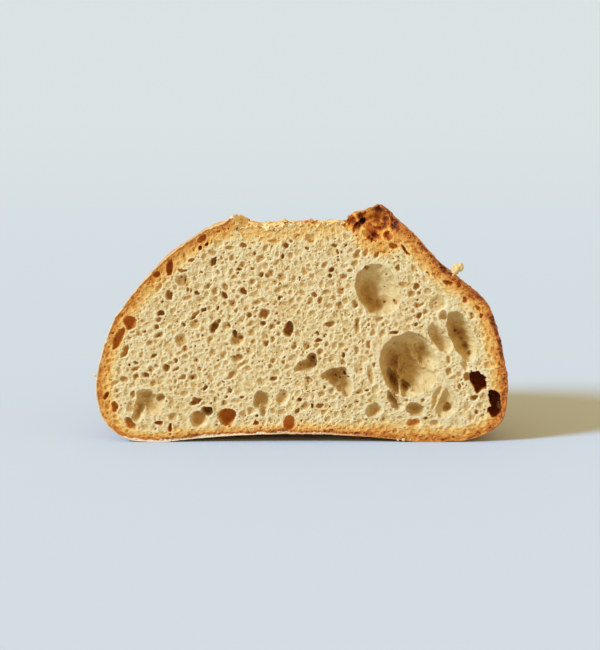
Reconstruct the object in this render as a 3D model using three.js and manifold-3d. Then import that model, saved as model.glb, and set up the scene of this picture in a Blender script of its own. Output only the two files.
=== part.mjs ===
// Half of a round sourdough loaf, cut straight down through its middle and standing on its foot.
// Millimetres, +Z up. The cut face is flat and looks along -Y, and the rounded back of the crust
// points along +Y. The form is one piece of bread: a domed crust on a flat foot with a shallow
// hollow under its middle, a long score that opened on top into a rough bloom with a raised ear
// on its right, a torn pocket where the cut went through the ear, and the larger holes of the
// crumb as pits in the cut face.
import * as THREE from 'three';
import { mergeVertices } from 'three/addons/utils/BufferGeometryUtils.js';
import Module from 'manifold-3d';

const wasm = await Module();
wasm.setup();

// Driving dimensions of the whole loaf.
const LOAF_DEPTH = 96; // from the cut face to the back of the crust
const BELLY_HEIGHT = 32; // level of the back's furthest point, which the form swells out from
const SIDE_POWER = 2.05; // roundness of the dome from front to back, 2 for an ellipse
const FOOT_POWER = 3.2; // the same under the loaf, where the crust turns in quickly to the foot

// The dome's outline in the cut, as [x, z] from the middle of the foot, from the left foot round
// over the top to the right foot. The three stations under the floor make the foot run flat.
const OUTLINE = [
  [-70.0, -0.4], [-77.5, 1.0], [-84.0, 3.7], [-93.0, 14.5], [-94.8, 26.6], [-93.4, 36.5], [-87.4, 55.5],
  [-74.8, 72.0], [-56.0, 90.6], [-35.8, 101.9], [-15.0, 104.2], [12.0, 104.8], [34.0, 103.8],
  [43.0, 101.8], [50.0, 97.2], [63.3, 83.1], [74.8, 74.6], [85.4, 64.2], [88.6, 55.5],
  [93.4, 35.3], [94.8, 22.0], [92.7, 11.0], [87.0, 5.0], [76.5, 1.0], [65.2, -0.2], [0, -6.0],
];

// The plain rounded form that the outline eases into towards the back, as half sizes of a
// superellipse round the belly's middle.
const BACK_FORM = { halfWidth: 94, up: 72, down: 40, power: 2.25 };

// The hollow under the foot: the crust pulled up a little as it cooled.
const ARCH = { height: 3.4, middle: -5, halfWidth: 58, depth: 60 };

// The score on top: its bloom is a lens that narrows towards the back, sunk below the dome.
const SCORE = { middle: -5, drift: 0.1, halfWidth: 25, length: 80, sink: 2.6, lip: 1.6 };
const EAR = { offset: 1.55, height: 4.6, steepWidth: 6.5, gentleWidth: 9 };
const CRAG = 1.5; // height of the crags in the bloom and on the ear

// The pocket torn into the ear where the cut passed through it.
const POCKET = { x: 31, z: 103.5, width: 27, height: 23, depth: 8 };

// The larger holes of the crumb. at is [x, z] on the cut face, lean turns the hole's top to the
// left in degrees, and depth runs into the loaf.
const HOLES = [
  { at: [34.9, 69.8], width: 21.0, height: 20.2, depth: 9, lean: 15 },
  { at: [49.3, 35.8], width: 26.2, height: 28.5, depth: 14, lean: 12 },
  { at: [73.4, 48.6], width: 9.6, height: 23.0, depth: 11, lean: 24 },
  { at: [63.0, 47.6], width: 7.0, height: 13.8, depth: 5, lean: 32 },
  { at: [81.7, 28.0], width: 8.3, height: 11.0, depth: 13, lean: 20 },
  { at: [88.2, 18.6], width: 6.2, height: 13.8, depth: 12, lean: 8 },
  { at: [3.2, 36.5], width: 10.1, height: 7.3, depth: 6, lean: -30 },
  { at: [17.0, 27.5], width: 14.6, height: 8.6, depth: 7, lean: 35 },
  { at: [-29.1, 47.3], width: 6.9, height: 6.4, depth: 5, lean: 20 },
  { at: [-6.0, 52.5], width: 5.0, height: 7.8, depth: 8, lean: -18 },
  { at: [-40.4, 52.8], width: 5.6, height: 4.6, depth: 7, lean: -35 },
  { at: [-17.0, 59.2], width: 4.6, height: 5.0, depth: 5, lean: -20 },
  { at: [-78.5, 54.6], width: 5.3, height: 5.5, depth: 5, lean: 0 },
  { at: [-34.4, 11.7], width: 8.7, height: 8.3, depth: 9, lean: -30 },
  { at: [-46.8, 11.5], width: 10.6, height: 7.3, depth: 7, lean: 10 },
  { at: [-69.8, 17.4], width: 13.3, height: 11.5, depth: 6, lean: -25 },
  { at: [-18.4, 19.3], width: 8.3, height: 9.2, depth: 6, lean: -15 },
  { at: [-8.7, 20.7], width: 5.5, height: 6.4, depth: 3, lean: -20 },
  { at: [33.5, 13.3], width: 9.0, height: 7.0, depth: 4, lean: 25 },
  { at: [51.9, 14.7], width: 8.6, height: 6.6, depth: 5, lean: -25 },
  { at: [64.7, 18.8], width: 9.6, height: 13.8, depth: 4, lean: 12 },
  { at: [-6.0, 9.4], width: 6.0, height: 6.4, depth: 4, lean: 0 },
  { at: [-84.0, 48.2], width: 4.1, height: 10.1, depth: 4, lean: -24 },
];

// Steps of the crust's grid: round the outline, and from the cut to the back.
const ROUND_STEPS = 112;
const BACK_STEPS = 27;
const SCORE_DENSITY = 2.2; // how much closer the steps lie along the score than elsewhere

const clamp = THREE.MathUtils.clamp;
const smoothstep = THREE.MathUtils.smoothstep;
const lerp = THREE.MathUtils.lerp;

// The outline as a radius round the belly's middle: a periodic cubic through the stations.
const stations = OUTLINE.map(([x, z]) => ({
  angle: Math.atan2(z - BELLY_HEIGHT, x),
  radius: Math.hypot(x, z - BELLY_HEIGHT),
})).sort((a, b) => a.angle - b.angle);

function station(index) {
  const count = stations.length;
  const turn = Math.floor(index / count);
  const s = stations[index - turn * count];
  return { angle: s.angle + turn * 2 * Math.PI, radius: s.radius };
}

function outlineRadius(angle) {
  let i = stations.findIndex((s) => s.angle > angle) - 1;
  if (i < -1) i = stations.length - 1;
  const [a, b, c, d] = [i - 1, i, i + 1, i + 2].map(station);
  const span = c.angle - b.angle;
  const t = (angle - b.angle) / span;
  const slopeB = ((c.radius - a.radius) / (c.angle - a.angle)) * span;
  const slopeC = ((d.radius - b.radius) / (d.angle - b.angle)) * span;
  return (2 * t ** 3 - 3 * t ** 2 + 1) * b.radius + (t ** 3 - 2 * t ** 2 + t) * slopeB +
    (3 * t ** 2 - 2 * t ** 3) * c.radius + (t ** 3 - t ** 2) * slopeC;
}

// The rounded form of the back, as a radius round the belly's middle.
function backRadius(angle) {
  const { halfWidth, up, down, power } = BACK_FORM;
  const upright = Math.sin(angle) > 0 ? up : down;
  return (Math.abs(Math.cos(angle) / halfWidth) ** power +
    Math.abs(Math.sin(angle) / upright) ** power) ** (-1 / power);
}

// Crags: folded sine waves that cross each other, about 0 on average.
function crags(x, y) {
  return 0.9 * Math.abs(Math.sin(0.31 * x + 0.12 * y + 0.4)) +
    0.7 * Math.abs(Math.sin(0.17 * x - 0.36 * y + 1.9)) +
    0.5 * Math.abs(Math.sin(0.55 * x + 0.48 * y + 3.1)) - 1.3;
}

// Broad lumps of the baked crust, between about -1 and 1.
function lumps(x, y, z) {
  return 0.5 * Math.sin(0.071 * x + 0.043 * z + 0.6) + 0.3 * Math.sin(0.093 * y - 0.061 * x + 2.2) +
    0.2 * Math.sin(0.13 * z + 0.11 * y + 4.0);
}

// Height that the score adds to the dome at a place: the sunk bloom, its lip and the ear's ridge.
function scoreRelief(x, y) {
  const along = y / SCORE.length;
  if (along >= 1) return 0;
  const fade = 1 - along * along;
  const halfWidth = SCORE.halfWidth * Math.sqrt(fade) + 1;
  const u = (x - SCORE.middle - SCORE.drift * y) / halfWidth;
  const inBloom = smoothstep(u, -1.08, -0.9) * (1 - smoothstep(u, 0.9, 1.1));
  const lip = SCORE.lip * Math.exp(-(((u + 1.05) / 0.13) ** 2));
  const fromEar = (u - EAR.offset) * halfWidth;
  const earWidth = fromEar < 0 ? EAR.steepWidth : EAR.gentleWidth;
  const ridge = Math.exp(-((fromEar / earWidth) ** 2));
  const rough = CRAG * crags(x, y) * (0.8 * inBloom + 0.5 * ridge);
  return fade * (-SCORE.sink * inBloom + lip + EAR.height * ridge + rough);
}

// A point of the crust: a superellipse from the outline at the cut to the back of the belly,
// easing from the outline of the cut to the rounded back form.
function crustPoint(angle, quarter) {
  const underneath = smoothstep(-Math.sin(angle), 0.1, 0.75);
  const power = lerp(SIDE_POWER, FOOT_POWER, underneath);
  const across = Math.cos(quarter) ** (2 / power);
  const back = Math.sin(quarter) ** (2 / power);
  const radius = lerp(outlineRadius(angle), backRadius(angle), smoothstep(back, 0.05, 0.8));
  let x = radius * Math.cos(angle) * across;
  let z = BELLY_HEIGHT + radius * Math.sin(angle) * across;
  const y = LOAF_DEPTH * back;
  const swell = 1 + 0.018 * lumps(x, y, z) * Math.sin(quarter);
  x *= swell;
  z = BELLY_HEIGHT + (z - BELLY_HEIGHT) * swell;
  z += scoreRelief(x, y) * smoothstep(z, 60, 88);
  if (z > 0) return [x, y, z];
  const lift = (1 - ((x - ARCH.middle) / ARCH.halfWidth) ** 2) * (1 - (y / ARCH.depth) ** 2);
  const inside = Math.abs(x - ARCH.middle) < ARCH.halfWidth && y < ARCH.depth;
  return [x, y, inside ? ARCH.height * lift : 0];
}

// The steps round the outline, closer together along the score.
function roundAngles() {
  const fine = 2000;
  const sums = [0];
  for (let i = 0; i < fine; i++) {
    const angle = -Math.PI + (2 * Math.PI * (i + 0.5)) / fine;
    const radius = outlineRadius(angle);
    const onScore = Math.sin(angle) > 0 && Math.abs(radius * Math.cos(angle) - 5) < 45;
    sums.push(sums[i] + radius * (onScore ? SCORE_DENSITY : 1));
  }
  const angles = [];
  for (let k = 0; k < ROUND_STEPS; k++) {
    const wanted = (sums[fine] * k) / ROUND_STEPS;
    const i = sums.findIndex((s) => s > wanted) - 1;
    const share = (wanted - sums[i]) / (sums[i + 1] - sums[i]);
    angles.push(-Math.PI + (2 * Math.PI * (i + share)) / fine);
  }
  return angles;
}

// A closed BufferGeometry made of points and triangles as a solid.
function solidOf(points, triangles) {
  return new wasm.Manifold(new wasm.Mesh({
    numProp: 3,
    vertProperties: new Float32Array(points.flat()),
    triVerts: new Uint32Array(triangles.flat()),
  }));
}

// The whole crust: rings from the cut to the back, closed by the flat cut face and the back point.
function domeSolid() {
  const angles = roundAngles();
  const points = [];
  const triangles = [];
  for (let j = 0; j < BACK_STEPS; j++) {
    const quarter = (Math.PI / 2) * (j / BACK_STEPS);
    angles.forEach((angle) => points.push(crustPoint(angle, quarter)));
  }
  const cutMiddle = points.push([0, 0, BELLY_HEIGHT]) - 1;
  const backPoint = points.push([0, LOAF_DEPTH, BELLY_HEIGHT]) - 1;
  for (let i = 0; i < ROUND_STEPS; i++) {
    const next = (i + 1) % ROUND_STEPS;
    triangles.push([cutMiddle, i, next]);
    for (let j = 0; j < BACK_STEPS - 1; j++) {
      const near = j * ROUND_STEPS;
      const far = near + ROUND_STEPS;
      triangles.push([near + i, far + i, near + next]);
      triangles.push([near + next, far + i, far + next]);
    }
    const last = (BACK_STEPS - 1) * ROUND_STEPS;
    triangles.push([last + i, backPoint, last + next]);
  }
  return solidOf(points, triangles);
}

// An uneven ellipsoid round a place on the cut face, which a hole or the pocket takes away.
function blobSolid(x, z, width, height, depth, lean, uneven, detail) {
  const ball = new THREE.IcosahedronGeometry(1, detail);
  ball.deleteAttribute('normal');
  ball.deleteAttribute('uv');
  const geometry = mergeVertices(ball, 1e-4);
  const place = geometry.getAttribute('position');
  for (let i = 0; i < place.count; i++) {
    const p = new THREE.Vector3().fromBufferAttribute(place, i);
    const wave = Math.sin(2.6 * p.x + 0.7 * x) + Math.sin(3.1 * p.z + 0.5 * z) + Math.sin(3.7 * p.y + x);
    p.multiplyScalar(1 + (uneven * wave) / 3);
    place.setXYZ(i, p.x, p.y, p.z);
  }
  geometry.scale(width / 2, depth, height / 2);
  geometry.rotateY(-THREE.MathUtils.degToRad(lean));
  geometry.translate(x, 0, z);
  return new wasm.Manifold(new wasm.Mesh({
    numProp: 3,
    vertProperties: new Float32Array(place.array),
    triVerts: new Uint32Array(geometry.index.array),
  }));
}

let bread = domeSolid();
for (const hole of HOLES) {
  const detail = clamp(Math.round(hole.width / 7), 1, 3);
  bread = bread.subtract(
    blobSolid(...hole.at, hole.width, hole.height, hole.depth, hole.lean, 0.12, detail));
}
bread = bread.subtract(
  blobSolid(POCKET.x, POCKET.z, POCKET.width, POCKET.height, POCKET.depth, 20, 0.2, 3));

// The solid as a three.js geometry, with its origin under the middle of its box.
function geometryOf(solid) {
  const mesh = solid.getMesh();
  const geometry = new THREE.BufferGeometry();
  geometry.setAttribute('position', new THREE.BufferAttribute(mesh.vertProperties, 3));
  geometry.setIndex(new THREE.BufferAttribute(mesh.triVerts, 1));
  geometry.computeBoundingBox();
  const { min, max } = geometry.boundingBox;
  geometry.translate(-(min.x + max.x) / 2, -(min.y + max.y) / 2, -min.z);
  geometry.computeVertexNormals();
  return geometry;
}

const bakedCrust = new THREE.MeshStandardMaterial({ color: 0xc8924f, roughness: 0.85, metalness: 0 });
const halfLoaf = new THREE.Mesh(geometryOf(bread), bakedCrust);
halfLoaf.name = 'half_loaf';

const loaf = new THREE.Group();
loaf.add(halfLoaf);

export default loaf;
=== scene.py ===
"""Half of a round sourdough loaf, standing on its foot with the cut face to the front.

The crust is a rounded form swelled out from the cut's outline, with a long score on top that
opened into a torn bloom with a raised ear. The crumb is a sheet of hollows pressed into the cut
face: the larger holes one by one, the smaller cells packed between them. Lengths are in
millimetres, y runs from the cut into the loaf, and the meshes are written in metres.
"""
import math

import bpy
import numpy as np
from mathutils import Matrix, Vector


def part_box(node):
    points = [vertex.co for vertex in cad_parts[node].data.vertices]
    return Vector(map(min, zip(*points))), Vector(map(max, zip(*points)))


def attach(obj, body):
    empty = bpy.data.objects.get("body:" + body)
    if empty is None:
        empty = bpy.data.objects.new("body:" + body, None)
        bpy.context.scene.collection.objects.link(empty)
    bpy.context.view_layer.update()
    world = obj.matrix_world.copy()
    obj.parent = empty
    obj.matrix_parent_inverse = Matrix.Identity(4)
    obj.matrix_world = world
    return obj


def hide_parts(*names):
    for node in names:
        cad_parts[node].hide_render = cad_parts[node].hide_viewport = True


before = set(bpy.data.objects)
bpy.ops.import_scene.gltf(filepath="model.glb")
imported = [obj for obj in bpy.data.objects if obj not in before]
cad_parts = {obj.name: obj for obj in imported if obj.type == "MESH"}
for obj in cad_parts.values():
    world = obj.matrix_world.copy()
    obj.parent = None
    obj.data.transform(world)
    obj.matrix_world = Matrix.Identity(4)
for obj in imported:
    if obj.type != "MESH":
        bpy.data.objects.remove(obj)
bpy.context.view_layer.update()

LOAF_LOW, LOAF_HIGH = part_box("half_loaf")
CUT_Y = LOAF_LOW[1] * 1000  # the cut face's plane in the frame

# The loaf's form.
LOAF_DEPTH = (LOAF_HIGH[1] - LOAF_LOW[1]) * 1000
BELLY_HEIGHT = 32.0
SIDE_POWER = 2.05
FOOT_POWER = 3.2
OUTLINE = np.array([
    [-70.0, -0.4], [-79.0, 0.8], [-85.2, 3.6], [-89.8, 7.6], [-93.4, 14.5], [-94.8, 26.6], [-93.4, 36.5],
    [-86.8, 55.2], [-75.3, 71.1], [-56.0, 89.7], [-37.5, 100.2], [-15.0, 103.6], [6.0, 103.8],
    [34.0, 103.8], [43.0, 100.8], [50.0, 96.4], [63.0, 82.3], [74.4, 73.4], [85.1, 63.7],
    [88.8, 55.7], [93.6, 36.2], [94.8, 22.0], [92.7, 11.0], [87.0, 5.0], [76.5, 1.0],
    [65.2, -0.2], [0.0, -6.0],
])
BACK_FORM = {"half_width": 94.0, "up": 72.0, "down": 40.0, "power": 2.25}
ARCH = {"height": 3.4, "middle": -5.0, "half_width": 58.0, "depth": 60.0}
SCORE = {"middle": -5.0, "drift": 0.1, "half_width": 25.0, "length": 80.0, "sink": 2.6, "lip": 1.2}
EAR = {"offset": 1.55, "height": 4.1, "steep": 6.5, "gentle": 7.4}
SCORE_RISE = (60, 88)  # the heights between which the score's relief grows
CRAG = 0.6
LUMP_SHARE = 0.018
FOOT_HOLLOW = {"height": 0.4, "middle": 2.0, "half_width": 74.0}

# The crumb's sheet and how the loaf is divided behind the cut.
SHEET_STEP = 0.125
SHEET_LEFT, SHEET_RIGHT, SHEET_FOOT, SHEET_TOP = -97.0, 97.0, -1.5, 111.0
CRUMB_STEPS = 690
CRUMB_PIECES = 5
CRUMB_THICKNESS = 17.0
DEEPEST = CRUMB_THICKNESS - 2.5
RIM_DEPTH = 18.0
RIM_ROWS = 46
BACK_GRID = 306
WALL_TAPER = 0.045  # how much the crust's inner wall narrows to its back
CRUMB_TAPER = WALL_TAPER + 0.005  # the same for the crumb, which lies just inside it
CRUMB_INSET = 0.28  # how far the crumb's edge lies inside the crust's
EDGE_STRIP = 0.35  # the skin's thickness, where no cells lie
UPRIGHT = 1.011  # heights are this much greater, as the camera's look down shortens them

DRAW = np.random.default_rng(1847)


def ease(value, start, end):
    """A share from 0 at start to 1 at end that eases in and out: 3 t squared less 2 t cubed."""
    t = np.clip((value - start) / (end - start), 0.0, 1.0)
    return t * t * (3.0 - 2.0 * t)


def between(first, second, share):
    """The first value, moved to the second by the share."""
    return first + (second - first) * share


def scatter(a, b, c, seed):
    """A fixed value from 0 to 1 for each whole-numbered place: the three numbers, each times a
    large odd number, are mixed by shifts and products."""
    mixed = a.astype(np.uint32) * np.uint32(0x9E3779B1)
    mixed ^= b.astype(np.uint32) * np.uint32(0x85EBCA77)
    mixed ^= c.astype(np.uint32) * np.uint32(0xC2B2AE3D)
    mixed += np.uint32(seed * 668265263 % 4294967296)
    mixed ^= mixed >> np.uint32(15)
    mixed *= np.uint32(0x2C1B3C6D)
    mixed ^= mixed >> np.uint32(12)
    mixed *= np.uint32(0x297A2D39)
    mixed ^= mixed >> np.uint32(15)
    return mixed / 4294967295.0


def unevenness(x, y, z, size, seed):
    """Smooth noise from -1 to 1: fixed values at the corners of cubes of that size, blended by
    eased shares of the way between the corners. The cubes are turned, and bent by sine waves,
    so that no rows show."""
    a = (0.79 * x + 0.36 * y - 0.50 * z) / size
    b = (0.90 * y + 0.41 * z - 0.15 * x) / size
    c = (0.60 * x - 0.25 * y + 0.76 * z) / size
    bent = (a + 0.25 * np.sin(2.3 * b + seed), b + 0.25 * np.sin(2.1 * c + seed),
            c + 0.25 * np.sin(1.9 * a + seed))
    cells = [np.floor(axis).astype(np.int64) for axis in bent]
    shares = [ease(axis - cell, 0.0, 1.0) for axis, cell in zip(bent, cells)]
    total = np.zeros(np.broadcast(x, y, z).shape)
    for corner in range(8):
        steps = (corner & 1, corner >> 1 & 1, corner >> 2 & 1)
        weight = 1.0
        for step, share in zip(steps, shares):
            weight = weight * (share if step else 1.0 - share)
        places = [cell + step for cell, step in zip(cells, steps)]
        total += weight * scatter(*places, seed)
    return 2.0 * total - 1.0


def torn(x, y, z, size, seed):
    """Sharp-edged noise from 0 to 1: one less the size of the smooth noise, so it has ridges."""
    return 1.0 - np.abs(unevenness(x, y, z, size, seed))


# The crust's form.

def outline_stations():
    """The outline's points as angles and radii round the belly's middle, in turn order, with
    one turn added before and after so that a curve through them closes."""
    angle = np.arctan2(OUTLINE[:, 1] - BELLY_HEIGHT, OUTLINE[:, 0])
    radius = np.hypot(OUTLINE[:, 0], OUTLINE[:, 1] - BELLY_HEIGHT)
    order = np.argsort(angle)
    turns = [angle[order] + 2 * math.pi * turn for turn in (-1, 0, 1)]
    return np.concatenate(turns), np.tile(radius[order], 3)


STATION_ANGLE, STATION_RADIUS = outline_stations()


def outline_radius(angle):
    """Radius of the cut's outline: a cubic through the stations whose slope at each station is
    that between its two neighbours."""
    a, r = STATION_ANGLE, STATION_RADIUS
    i = np.searchsorted(a, angle, side="right") - 1
    span = a[i + 1] - a[i]
    t = (angle - a[i]) / span
    slope_here = (r[i + 1] - r[i - 1]) / (a[i + 1] - a[i - 1]) * span
    slope_next = (r[i + 2] - r[i]) / (a[i + 2] - a[i]) * span
    return ((2 * t**3 - 3 * t**2 + 1) * r[i] + (t**3 - 2 * t**2 + t) * slope_here
            + (3 * t**2 - 2 * t**3) * r[i + 1] + (t**3 - t**2) * slope_next)


def back_radius(angle):
    """Radius of the rounded back: a superellipse, taller above the belly than below it."""
    form = BACK_FORM
    upright = np.where(np.sin(angle) > 0, form["up"], form["down"])
    return (np.abs(np.cos(angle) / form["half_width"]) ** form["power"]
            + np.abs(np.sin(angle) / upright) ** form["power"]) ** (-1 / form["power"])


def crags(x, y):
    """Folded sine waves that cross each other, about 0 on average."""
    return (0.9 * np.abs(np.sin(0.31 * x + 0.12 * y + 0.4))
            + 0.7 * np.abs(np.sin(0.17 * x - 0.36 * y + 1.9))
            + 0.5 * np.abs(np.sin(0.55 * x + 0.48 * y + 3.1)) - 1.3)


def lumps(x, y, z):
    """Broad lumps of the baked crust, three slow sine waves."""
    return (0.5 * np.sin(0.071 * x + 0.043 * z + 0.6) + 0.3 * np.sin(0.093 * y - 0.061 * x + 2.2)
            + 0.2 * np.sin(0.13 * z + 0.11 * y + 4.0))


def score_parts(x, y):
    """Where the score shows, as shares: its fade to the back, the open bloom, the lip on its
    left and the ear's ridge on its right, the last two as bell curves."""
    along = np.clip(y / SCORE["length"], 0.0, 1.0)
    fade = 1 - along * along
    half_width = SCORE["half_width"] * np.sqrt(fade) + 1
    u = (x - SCORE["middle"] - SCORE["drift"] * y) / half_width
    bloom = ease(u, -1.03, -0.9) * (1 - ease(u, 0.9, 1.1))
    lip = np.exp(-(((u + 0.99) / 0.12) ** 2))
    from_ear = (u - EAR["offset"]) * half_width
    ear_width = np.where(from_ear < 0, EAR["steep"], EAR["gentle"])
    ridge = np.exp(-((from_ear / ear_width) ** 2))
    return fade, bloom, lip, ridge


def crust_point(angle, back):
    """A place on the crust, for an angle round the belly and a share of the depth: the outline
    eased into the back form, drawn in by a superellipse, swelled by lumps, raised by the score,
    and flattened at the foot with the hollow under its middle."""
    underneath = ease(-np.sin(angle), 0.1, 0.75)
    power = between(SIDE_POWER, FOOT_POWER, underneath)
    across = np.clip(1 - back**power, 0, 1) ** (1 / power)
    radius = between(outline_radius(angle), back_radius(angle), ease(back, 0.05, 0.8))
    x = radius * np.cos(angle) * across
    z = BELLY_HEIGHT + radius * np.sin(angle) * across
    y = LOAF_DEPTH * back
    swell = 1 + LUMP_SHARE * lumps(x, y, z) * back ** (power / 2)
    x = x * swell
    z = BELLY_HEIGHT + (z - BELLY_HEIGHT) * swell
    fade, bloom, lip, ridge = score_parts(x, y)
    rough = CRAG * crags(x, y) * (0.8 * bloom + 0.5 * ridge)
    relief = fade * (SCORE["lip"] * lip - SCORE["sink"] * bloom + EAR["height"] * ridge + rough)
    z = z + relief * ease(z, *SCORE_RISE)
    lift = (1 - ((x - ARCH["middle"]) / ARCH["half_width"]) ** 2) * (1 - (y / ARCH["depth"]) ** 2)
    inside = (np.abs(x - ARCH["middle"]) < ARCH["half_width"]) & (y < ARCH["depth"])
    floor = np.where(inside, ARCH["height"] * lift, 0.0)
    return x, y, np.maximum(z, floor)


def crust_skin(angle, back):
    """A place on the finished crust with its finish: crust_point, moved outward by blisters,
    wrinkles, torn flakes in the bloom and crags on the ear. Outward is the slope of an
    ellipsoid as large as the loaf. Returns x, y, z and the shares bake and flour."""
    x, y, z = crust_point(angle, back)
    across = (x - FOOT_HOLLOW["middle"]) / FOOT_HOLLOW["half_width"]
    hollow = np.clip(1 - across**2, 0, 1) * (1 - ease(y, 20, 50))
    z = z + FOOT_HOLLOW["height"] * hollow * (1 - ease(z, 2.5, 9.0))
    fade, bloom, lip, ridge = score_parts(x, y)
    top = ease(z, *SCORE_RISE) * fade
    bloom, lip, ridge = bloom * top, lip * top, ridge * top
    foot = 1 - ease(z, 0.5, 6.0)
    plain = (1 - bloom) * (1 - ridge) * (1 - foot)

    broad = unevenness(x, y, z, 11.0, 1)
    middle = unevenness(x, y, z, 4.5, 2)
    small = unevenness(x, y, z, 1.9, 3)
    fine = unevenness(x, y, z, 0.9, 4)
    blisters = ease(small, 0.15, 0.8)
    wrinkle = ease(torn(x, y * 0.7, z, 7.0, 5), 0.93, 1.0)
    skin = 0.3 * broad + 0.25 * middle + 0.28 * blisters + 0.08 * fine - 0.3 * wrinkle
    shreds = (2.9 * torn(x, y * 0.6, z, 6.4, 6) + 1.7 * torn(x, y, z, 2.7, 7)
              + 0.9 * torn(x, y, z, 1.2, 8) - 3.7)
    knobs = (1.9 * torn(x, y, z, 3.2, 9) + 1.3 * torn(x, y, z, 1.5, 10)
             + 0.7 * torn(x, y, z, 0.8, 11) - 2.5)
    beside = (ridge + 1.2 * lip) * (1 - 0.7 * bloom)
    out = plain * skin + bloom * shreds + beside * knobs + 0.1 * foot * fine

    upright = np.where(z > BELLY_HEIGHT, BACK_FORM["up"], BACK_FORM["down"])
    half_width = 95
    away = np.stack([x / half_width**2, y / LOAF_DEPTH**2, (z - BELLY_HEIGHT) / upright**2])
    away[1] *= ease(y, 1.0, 12.0)
    away /= np.linalg.norm(away, axis=0)
    x, y, z = x + away[0] * out, y + away[1] * out, z + away[2] * out
    z = z - bloom * (1.7 * (1 - ease(y, 22, 50)) + 0.4 * (1 - ease(y, 0.0, 7.0)))
    z = np.maximum(z, 0.0)

    right = ease(x, 20, 90)
    patches = unevenness(x, y, z, 24.0, 12)
    bake = 0.61 + 0.11 * patches + 0.07 * broad + 0.04 * middle + 0.10 * right
    bake += 0.08 * blisters - 0.08 * wrinkle - 0.14 * (1 - right) * (1 - ease(y, 2.0, 16.0))
    torn_bake = 0.10 + 0.22 * ease(middle, -0.2, 0.8) + 0.20 * ease(shreds, 0.4, 1.6)
    bake = between(bake, torn_bake, bloom)
    bake = bake + 0.22 * ridge - 0.10 * lip + 0.10 * ridge * small
    bake = between(bake, 0.46 + 0.05 * middle, foot)
    near_cut = 1 - ease(y, 0.5, 5.0)
    left = 1 - ease(x, -45.0, -15.0)
    flour = (0.32 - 0.14 * patches + 0.18 * broad + 0.12 * (1 - right) - 0.6 * ridge - 0.5 * bloom
             + 0.08 * foot + 0.40 * lip + (0.46 * left + 0.30 * foot * (1 - left) - 0.20) * near_cut)
    return x, y, z, np.clip(bake, 0, 1), np.clip(flour, 0, 1)


# The sheet of the cut face: regular steps across and up, with arrays for what is pressed in.

SHEET_X = np.arange(SHEET_LEFT, SHEET_RIGHT, SHEET_STEP)
SHEET_Z = np.arange(SHEET_FOOT, SHEET_TOP, SHEET_STEP)
PLAIN_X, PLAIN_Z = np.meshgrid(SHEET_X, SHEET_Z)


def sheet_noise(size, seed):
    """The smooth noise on the whole sheet."""
    return unevenness(PLAIN_X, np.zeros_like(PLAIN_X), PLAIN_Z, size, seed)


WOBBLE_X = 0.62 * sheet_noise(2.6, 11) + 0.34 * sheet_noise(1.1, 12)
WOBBLE_Z = 0.62 * sheet_noise(2.6, 13) + 0.34 * sheet_noise(1.1, 14)
WAVY_X, WAVY_Z = PLAIN_X + WOBBLE_X, PLAIN_Z + WOBBLE_Z


def rim_curve():
    """The crust's edge at the cut in even angle steps, as the angle and radius of each place
    round the belly's middle."""
    turn = np.linspace(-math.pi, math.pi, 3000, endpoint=False)
    x, _, z, _, _ = crust_skin(turn, np.zeros_like(turn))
    angle = np.arctan2(z - BELLY_HEIGHT, x)
    order = np.argsort(angle)
    return angle[order], np.hypot(x, z - BELLY_HEIGHT)[order]


RIM_ANGLE, RIM_RADIUS = rim_curve()


def smooth_reach(angle):
    """Radius of the crust's edge without its roughness: the mean over a short stretch of it."""
    turn = np.linspace(-math.pi, math.pi, 1500, endpoint=False)
    radius = np.interp(turn, RIM_ANGLE, RIM_RADIUS, period=2 * math.pi)
    stretch = 31
    wrapped = np.concatenate([radius[-(stretch // 2):], radius, radius[:stretch // 2]])
    mean = np.convolve(wrapped, np.full(stretch, 1 / stretch), "valid")
    return np.interp(angle, turn, mean, period=2 * math.pi)


def below_crust(x, z):
    """Distance of a place on the cut inwards from the crust's edge, and the edge's direction
    there in radians: the radius left to the edge, times the cosine of the edge's slant. Over
    the foot it is the height above the foot's edge."""
    angle = np.arctan2(z - BELLY_HEIGHT, x)
    radius = np.hypot(x, z - BELLY_HEIGHT)
    step = 0.02
    edge = np.interp(angle, RIM_ANGLE, RIM_RADIUS, period=2 * math.pi)
    ahead = np.interp(angle + step, STATION_TURN, STATION_REACH, period=2 * math.pi)
    behind = np.interp(angle - step, STATION_TURN, STATION_REACH, period=2 * math.pi)
    slant = np.arctan((ahead - behind) / (2 * step) / edge)
    inwards = (edge - radius) * np.cos(slant)
    foot_edge = np.interp(x, FOOT_X, FOOT_Z)
    foot_top, foot_half_width = 25, 66
    above_foot = (z < foot_top) & (np.abs(x) < foot_half_width)
    return np.where(above_foot, z - foot_edge, inwards), angle + math.pi / 2 - slant


STATION_TURN = np.linspace(-math.pi, math.pi, 720, endpoint=False)
STATION_REACH = outline_radius(STATION_TURN)
FOOT_TURN = np.linspace(-math.pi, 0, 1500)[1:-1]
FOOT_X, _, FOOT_Z, _, _ = crust_skin(FOOT_TURN, np.zeros_like(FOOT_TURN))
UNDER_CRUST, ALONG_CRUST = below_crust(PLAIN_X, PLAIN_Z)


def new_sheet():
    """The cut face before anything is pressed in. depth is in millimetres into the loaf, the
    others are shares: the painted shade of the hollows, browner and darker the deeper they are,
    with a little random tone; lined a smooth skin; toast baked colour; ear the torn pocket under
    the ear; and taken where no more cells may lie."""
    shape = PLAIN_X.shape
    names = ("depth", "shade_and_tone", "lined", "toast", "ear")
    sheet = {name: np.zeros(shape, np.float32) for name in names}
    sheet["taken"] = UNDER_CRUST < EDGE_STRIP
    return sheet


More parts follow.
